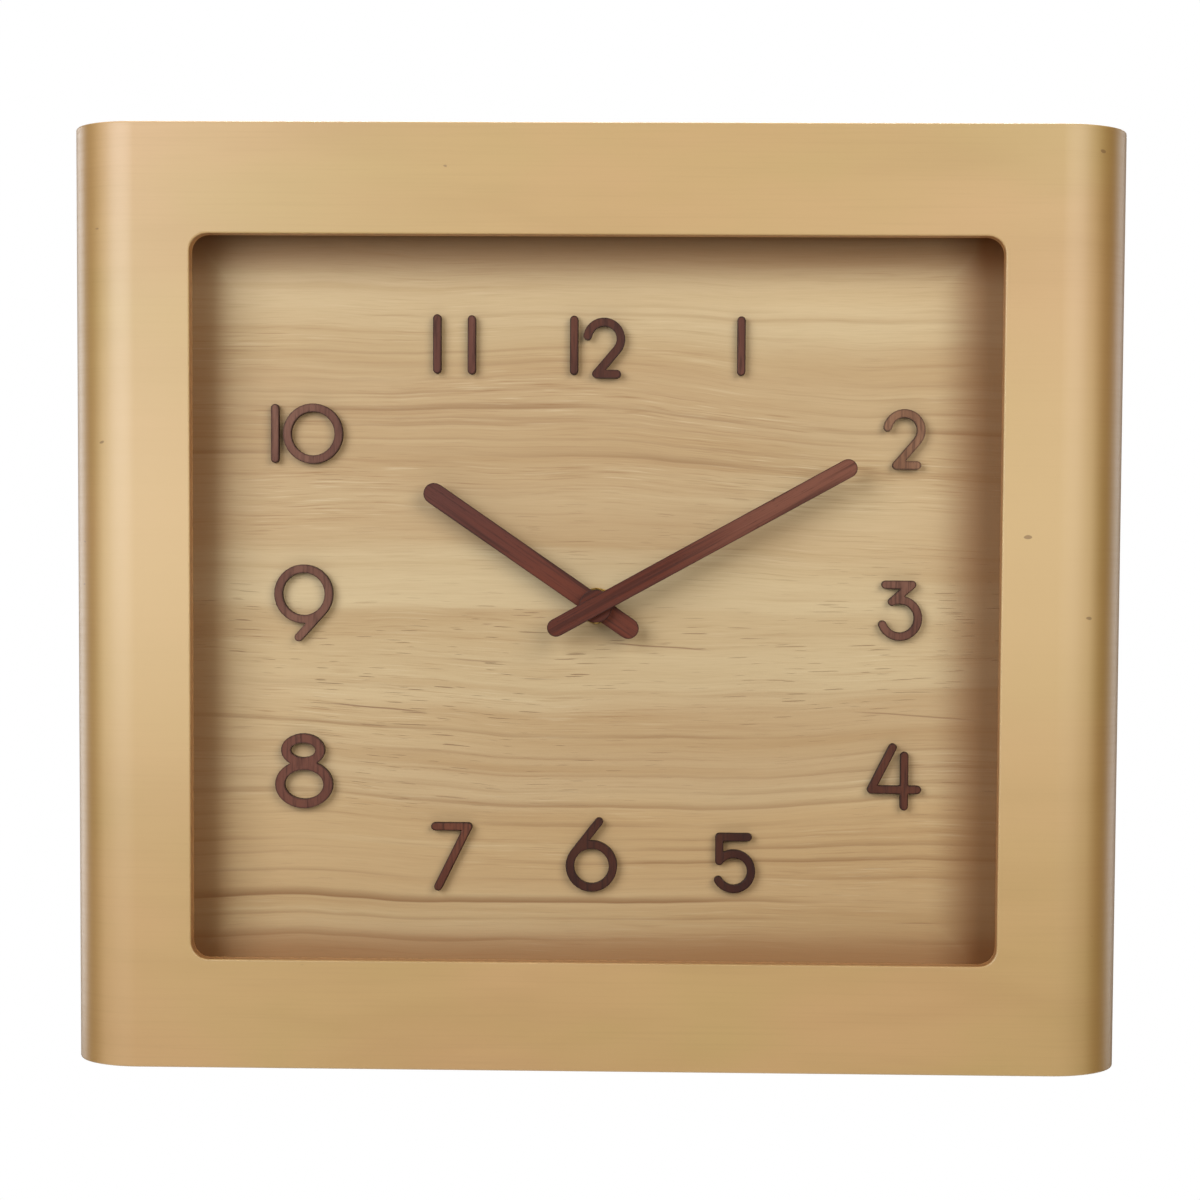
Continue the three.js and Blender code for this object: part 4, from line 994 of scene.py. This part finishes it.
nut_low, nut_high = corners_of("hex_nut")
bush_low, bush_high = corners_of("threaded_bush")
NUT_FRONT, NUT_BACK = nut_low.y, nut_high.y
NUT_FLAT = nut_high.x
NUT_BORE = 0.00405
NUT_COUNTERSINK = 0.0004
CHAMFER_RADIUS, CHAMFER_SLOPE = 0.0058, 1.73
CHAMFER_DEPTHS = (0, 0.0002, 0.0004, 0.00055, 0.0007)
BUSH_FRONT, BUSH_BACK = bush_low.y, bush_high.y
BUSH_RADIUS, BUSH_BORE = 0.0040, 0.0022
FLANGE_RADIUS, FLANGE = bush_high.x, 0.0006
THREAD_END = BUSH_FRONT + 0.0096
THREAD_PITCH, THREAD_DEPTH = 0.00075, 0.00032
THREAD_LEAD, THREAD_RUN_OUT = 0.0005, 0.0002
RINGS_PER_TURN = 6


def about_shaft(y, x, z):
    return (x, y, SHAFT_HEIGHT + z)


def nut_side(depth):
    """The nut's hexagon by angle, cut round where the chamfer has not run out at this depth."""

    def reach(turn):
        off = (turn + math.pi / 6) % (math.pi / 3) - math.pi / 6
        return min(NUT_FLAT / math.cos(off), CHAMFER_RADIUS + depth * CHAMFER_SLOPE)

    return reach


def hex_nut():
    rings = [(NUT_FRONT + depth, nut_side(depth)) for depth in CHAMFER_DEPTHS]
    rings += [(NUT_BACK - depth, nut_side(depth)) for depth in reversed(CHAMFER_DEPTHS)]
    rings += [
        (NUT_BACK, NUT_BORE + NUT_COUNTERSINK),
        (NUT_BACK - NUT_COUNTERSINK, NUT_BORE),
        (NUT_FRONT + NUT_COUNTERSINK, NUT_BORE),
        (NUT_FRONT, NUT_BORE + NUT_COUNTERSINK),
    ]
    shape, _ = turned(rings, about_shaft, sides=144, loop=True)
    piece = finished_piece("chamfered_nut", shape, "case", [brass])
    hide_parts("hex_nut")
    shade_smooth(piece)


def thread(y):
    """The thread by angle: a ridge that goes once round for each pitch along the bush."""

    def reach(turn):
        along = (y / THREAD_PITCH - turn / (2 * math.pi)) % 1
        return BUSH_RADIUS - THREAD_DEPTH * (1 - abs(2 * along - 1))

    return reach


def threaded_bush():
    length = THREAD_END - BUSH_FRONT
    steps = round(length / THREAD_PITCH * RINGS_PER_TURN)
    rings = [(BUSH_FRONT, BUSH_RADIUS - THREAD_LEAD)]
    for step in range(1, steps + 1):
        y = BUSH_FRONT + length * step / steps
        rings.append((y, thread(y)))
    rings += [
        (THREAD_END + THREAD_RUN_OUT, BUSH_RADIUS),
        (BUSH_BACK - FLANGE, BUSH_RADIUS),
        (BUSH_BACK - FLANGE, FLANGE_RADIUS),
        (BUSH_BACK, FLANGE_RADIUS),
        (BUSH_BACK, BUSH_BORE),
        (BUSH_FRONT, BUSH_BORE),
    ]
    shape, _ = turned(rings, about_shaft, loop=True)
    piece = finished_piece("threaded_tube", shape, "case", [brass])
    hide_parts("threaded_bush")
    shade_smooth(piece)


hex_nut()
threaded_bush()


# Hands. Two flat bars of reddish wood with round ends, their grain and dark streaks lying along
# them, waxed. The hour hand is pressed on a brass bush, and the minute hand stands on a round
# wooden hub.

# How far each hand has turned, in degrees clockwise from twelve, and how far it reaches.
MINUTE_TURN, MINUTE_REACH = 61.08, 0.10
HOUR_TURN, HOUR_REACH = 304.39, 0.07
HAND_EDGE_SHARE = 0.85


def hand_wood(name, turn, reach, tip, hub, streak):
    """Waxed reddish wood: grain and pores along the hand, a slow change from hub to tip."""
    finish = Finish(name, {"Roughness": 0.48, "Specular IOR Level": 0.3})
    place = finish.place(DIAL_MIDDLE)
    angle = math.radians(turn)
    u = finish.along(place, (math.sin(angle), 0, math.cos(angle)))
    v = finish.along(place, (math.cos(angle), 0, -math.sin(angle)))
    run = finish.join(u, v, finish.along(place, (0, 1, 0)))
    drift = finish.noise(run, (22, 150, 150), detail=2)
    grain = finish.noise(run, (30, 1500, 1500), detail=3, roughness=0.7, wander=0.3)
    bold = finish.noise(run, (14, 420, 420), detail=1)
    pores = finish.noise(run, (300, 4200, 4200), detail=1)
    uneven = finish.times(finish.less(drift, 0.5), 0.9)
    outward = finish.add(uneven, finish.times(u, 1 / reach))
    body = finish.mix(finish.level(outward, 0.1, 1.0), hub, tip)
    body = finish.stain(body, bold, 0.50, 0.66, 0.55, streak)
    body = finish.stain(body, grain, 0.46, 0.70, 0.6, streak)
    body = finish.stain(body, pores, 0.66, 0.78, 0.7, "220d09")
    finish.set("Base Color", sawn_edge(finish, body, HAND_EDGE_SHARE))
    finish.set("Roughness", finish.level(grain, 0.3, 0.8, 0.40, 0.58))
    finish.set("Normal", finish.relief(finish.less(grain, pores), depth=0.00005))
    return finish


MINUTE_SHADES = {"tip": "7c4c3b", "hub": "5f2c1d", "streak": "3a1910"}
HOUR_SHADES = {"tip": "5e332a", "hub": "6b3525", "streak": "37180f"}
minute_wood = hand_wood("minute_hand_wood", MINUTE_TURN, MINUTE_REACH, **MINUTE_SHADES)
hour_wood = hand_wood("hour_hand_wood", HOUR_TURN, HOUR_REACH, **HOUR_SHADES)
for name, finish in (
    ("minute_hand", minute_wood),
    ("minute_hand_hub", minute_wood),
    ("hour_hand", hour_wood),
):
    finish.lay_on(nodes[name])
    ease_edges(nodes[name], width=0.0002)
brass.lay_on(nodes["hour_hand_bush"])
ease_edges(nodes["hour_hand_bush"], width=0.0002, segments=2)


# Floor, light and camera. The clock hangs well above a plain pale floor, in soft light from
# two broad panels in front, one at each side, two behind and one overhead.

FLOOR_HALF = 2.4
FLOOR_HEIGHT = -1.45
SKY_LIGHT, SKY_SEEN = 0.02, 1.0

# The camera was fitted to the outline of the case. Its lens and shift are in pixels of a frame
# of 1200, its place is in metres from the middle of the case's front, and its turns in degrees.
FRAME_PIXELS, SENSOR = 1200, 36
LENS_PIXELS, SHIFT_PIXELS = 2616.6, (-49.6, 98.2)
NEAREST, FARTHEST = 0.05, 50
CAMERA_RIGHT, CAMERA_AWAY, CAMERA_UP = 0.0430, 0.9808, 0.0166
CAMERA_TURNS = ((1.284, "Z"), (-3.079, "X"), (-0.369, "Y"), (90, "X"))


def pale_floor():
    mesh = bpy.data.meshes.new("floor")
    corners = [(-1, -1), (1, -1), (1, 1), (-1, 1)]
    points = [(x * FLOOR_HALF, y * FLOOR_HALF, FLOOR_HEIGHT) for x, y in corners]
    mesh.from_pydata(points, [], [(0, 1, 2, 3)])
    floor = bpy.data.objects.new("floor", mesh)
    bpy.context.scene.collection.objects.link(floor)
    paint = Finish("pale_floor", {"Roughness": 0.8})
    cloud = paint.noise(paint.place(), 2, detail=2)
    paint.set("Base Color", paint.mix(cloud, "e9e8e5", "e3e2de"))
    paint.lay_on(floor)


def soft_panel(name, place, size, watts, tint="ffffff"):
    """A soft light of this width and height, aimed at the case, that the camera doesn't see."""
    light = bpy.data.lights.new(name, "AREA")
    light.shape = "RECTANGLE"
    light.size, light.size_y = size
    light.energy = watts
    light.color = seen(tint)[:3]
    panel = bpy.data.objects.new(name, light)
    panel.location = place
    way = CASE_MIDDLE - Vector(place)
    panel.rotation_euler = way.to_track_quat("-Z", "Y").to_euler()
    panel.visible_camera = False
    bpy.context.scene.collection.objects.link(panel)


pale_floor()
soft_panel("panel_left", (-0.88, -1.17, 0.36), (1.0, 1.1), watts=18.4, tint="f8fbff")
soft_panel("panel_right", (0.80, -1.22, 0.40), (1.0, 1.1), watts=13.0, tint="fff8ee")
soft_panel("panel_side_left", (-1.45, 0.95, -0.05), (0.7, 1.2), watts=6.5)
soft_panel("panel_side_right", (1.45, 0.95, -0.05), (0.7, 1.2), watts=4.2)
soft_panel("panel_rear_left", (-0.35, 1.8, 0.6), (0.6, 0.6), watts=11)
soft_panel("panel_rear_right", (0.35, 1.8, 0.6), (0.6, 0.6), watts=11)
soft_panel("panel_overhead", (0, 0.90, 4.2), (2.6, 1.8), watts=185)


def white_sky():
    """Plain white behind the clock, which lights it only faintly."""
    world = bpy.data.worlds.new("studio")
    world.use_nodes = True
    tree = world.node_tree
    sky = tree.nodes["Background"]
    rays = tree.nodes.new("ShaderNodeLightPath")
    strength = tree.nodes.new("ShaderNodeMapRange")
    strength.inputs["To Min"].default_value = SKY_LIGHT
    strength.inputs["To Max"].default_value = SKY_SEEN
    tree.links.new(rays.outputs["Is Camera Ray"], strength.inputs["Value"])
    tree.links.new(strength.outputs["Result"], sky.inputs["Strength"])
    sky.inputs["Color"].default_value = (1, 1, 1, 1)
    bpy.context.scene.world = world


def place_camera():
    lens = bpy.data.cameras.new("camera")
    lens.sensor_width = SENSOR
    lens.lens = LENS_PIXELS * SENSOR / FRAME_PIXELS
    lens.shift_x, lens.shift_y = (shift / FRAME_PIXELS for shift in SHIFT_PIXELS)
    lens.clip_start, lens.clip_end = NEAREST, FARTHEST
    camera = bpy.data.objects.new("camera", lens)
    camera.location = CASE_MIDDLE + Vector((CAMERA_RIGHT, -SHELL_DEPTH - CAMERA_AWAY, CAMERA_UP))
    aim = Matrix.Identity(3)
    for degrees, axis in CAMERA_TURNS:
        aim = aim @ Matrix.Rotation(math.radians(degrees), 3, axis)
    camera.rotation_euler = aim.to_euler()
    bpy.context.scene.collection.objects.link(camera)
    bpy.context.scene.camera = camera


white_sky()
place_camera()
bpy.context.scene.view_settings.view_transform = "Standard"
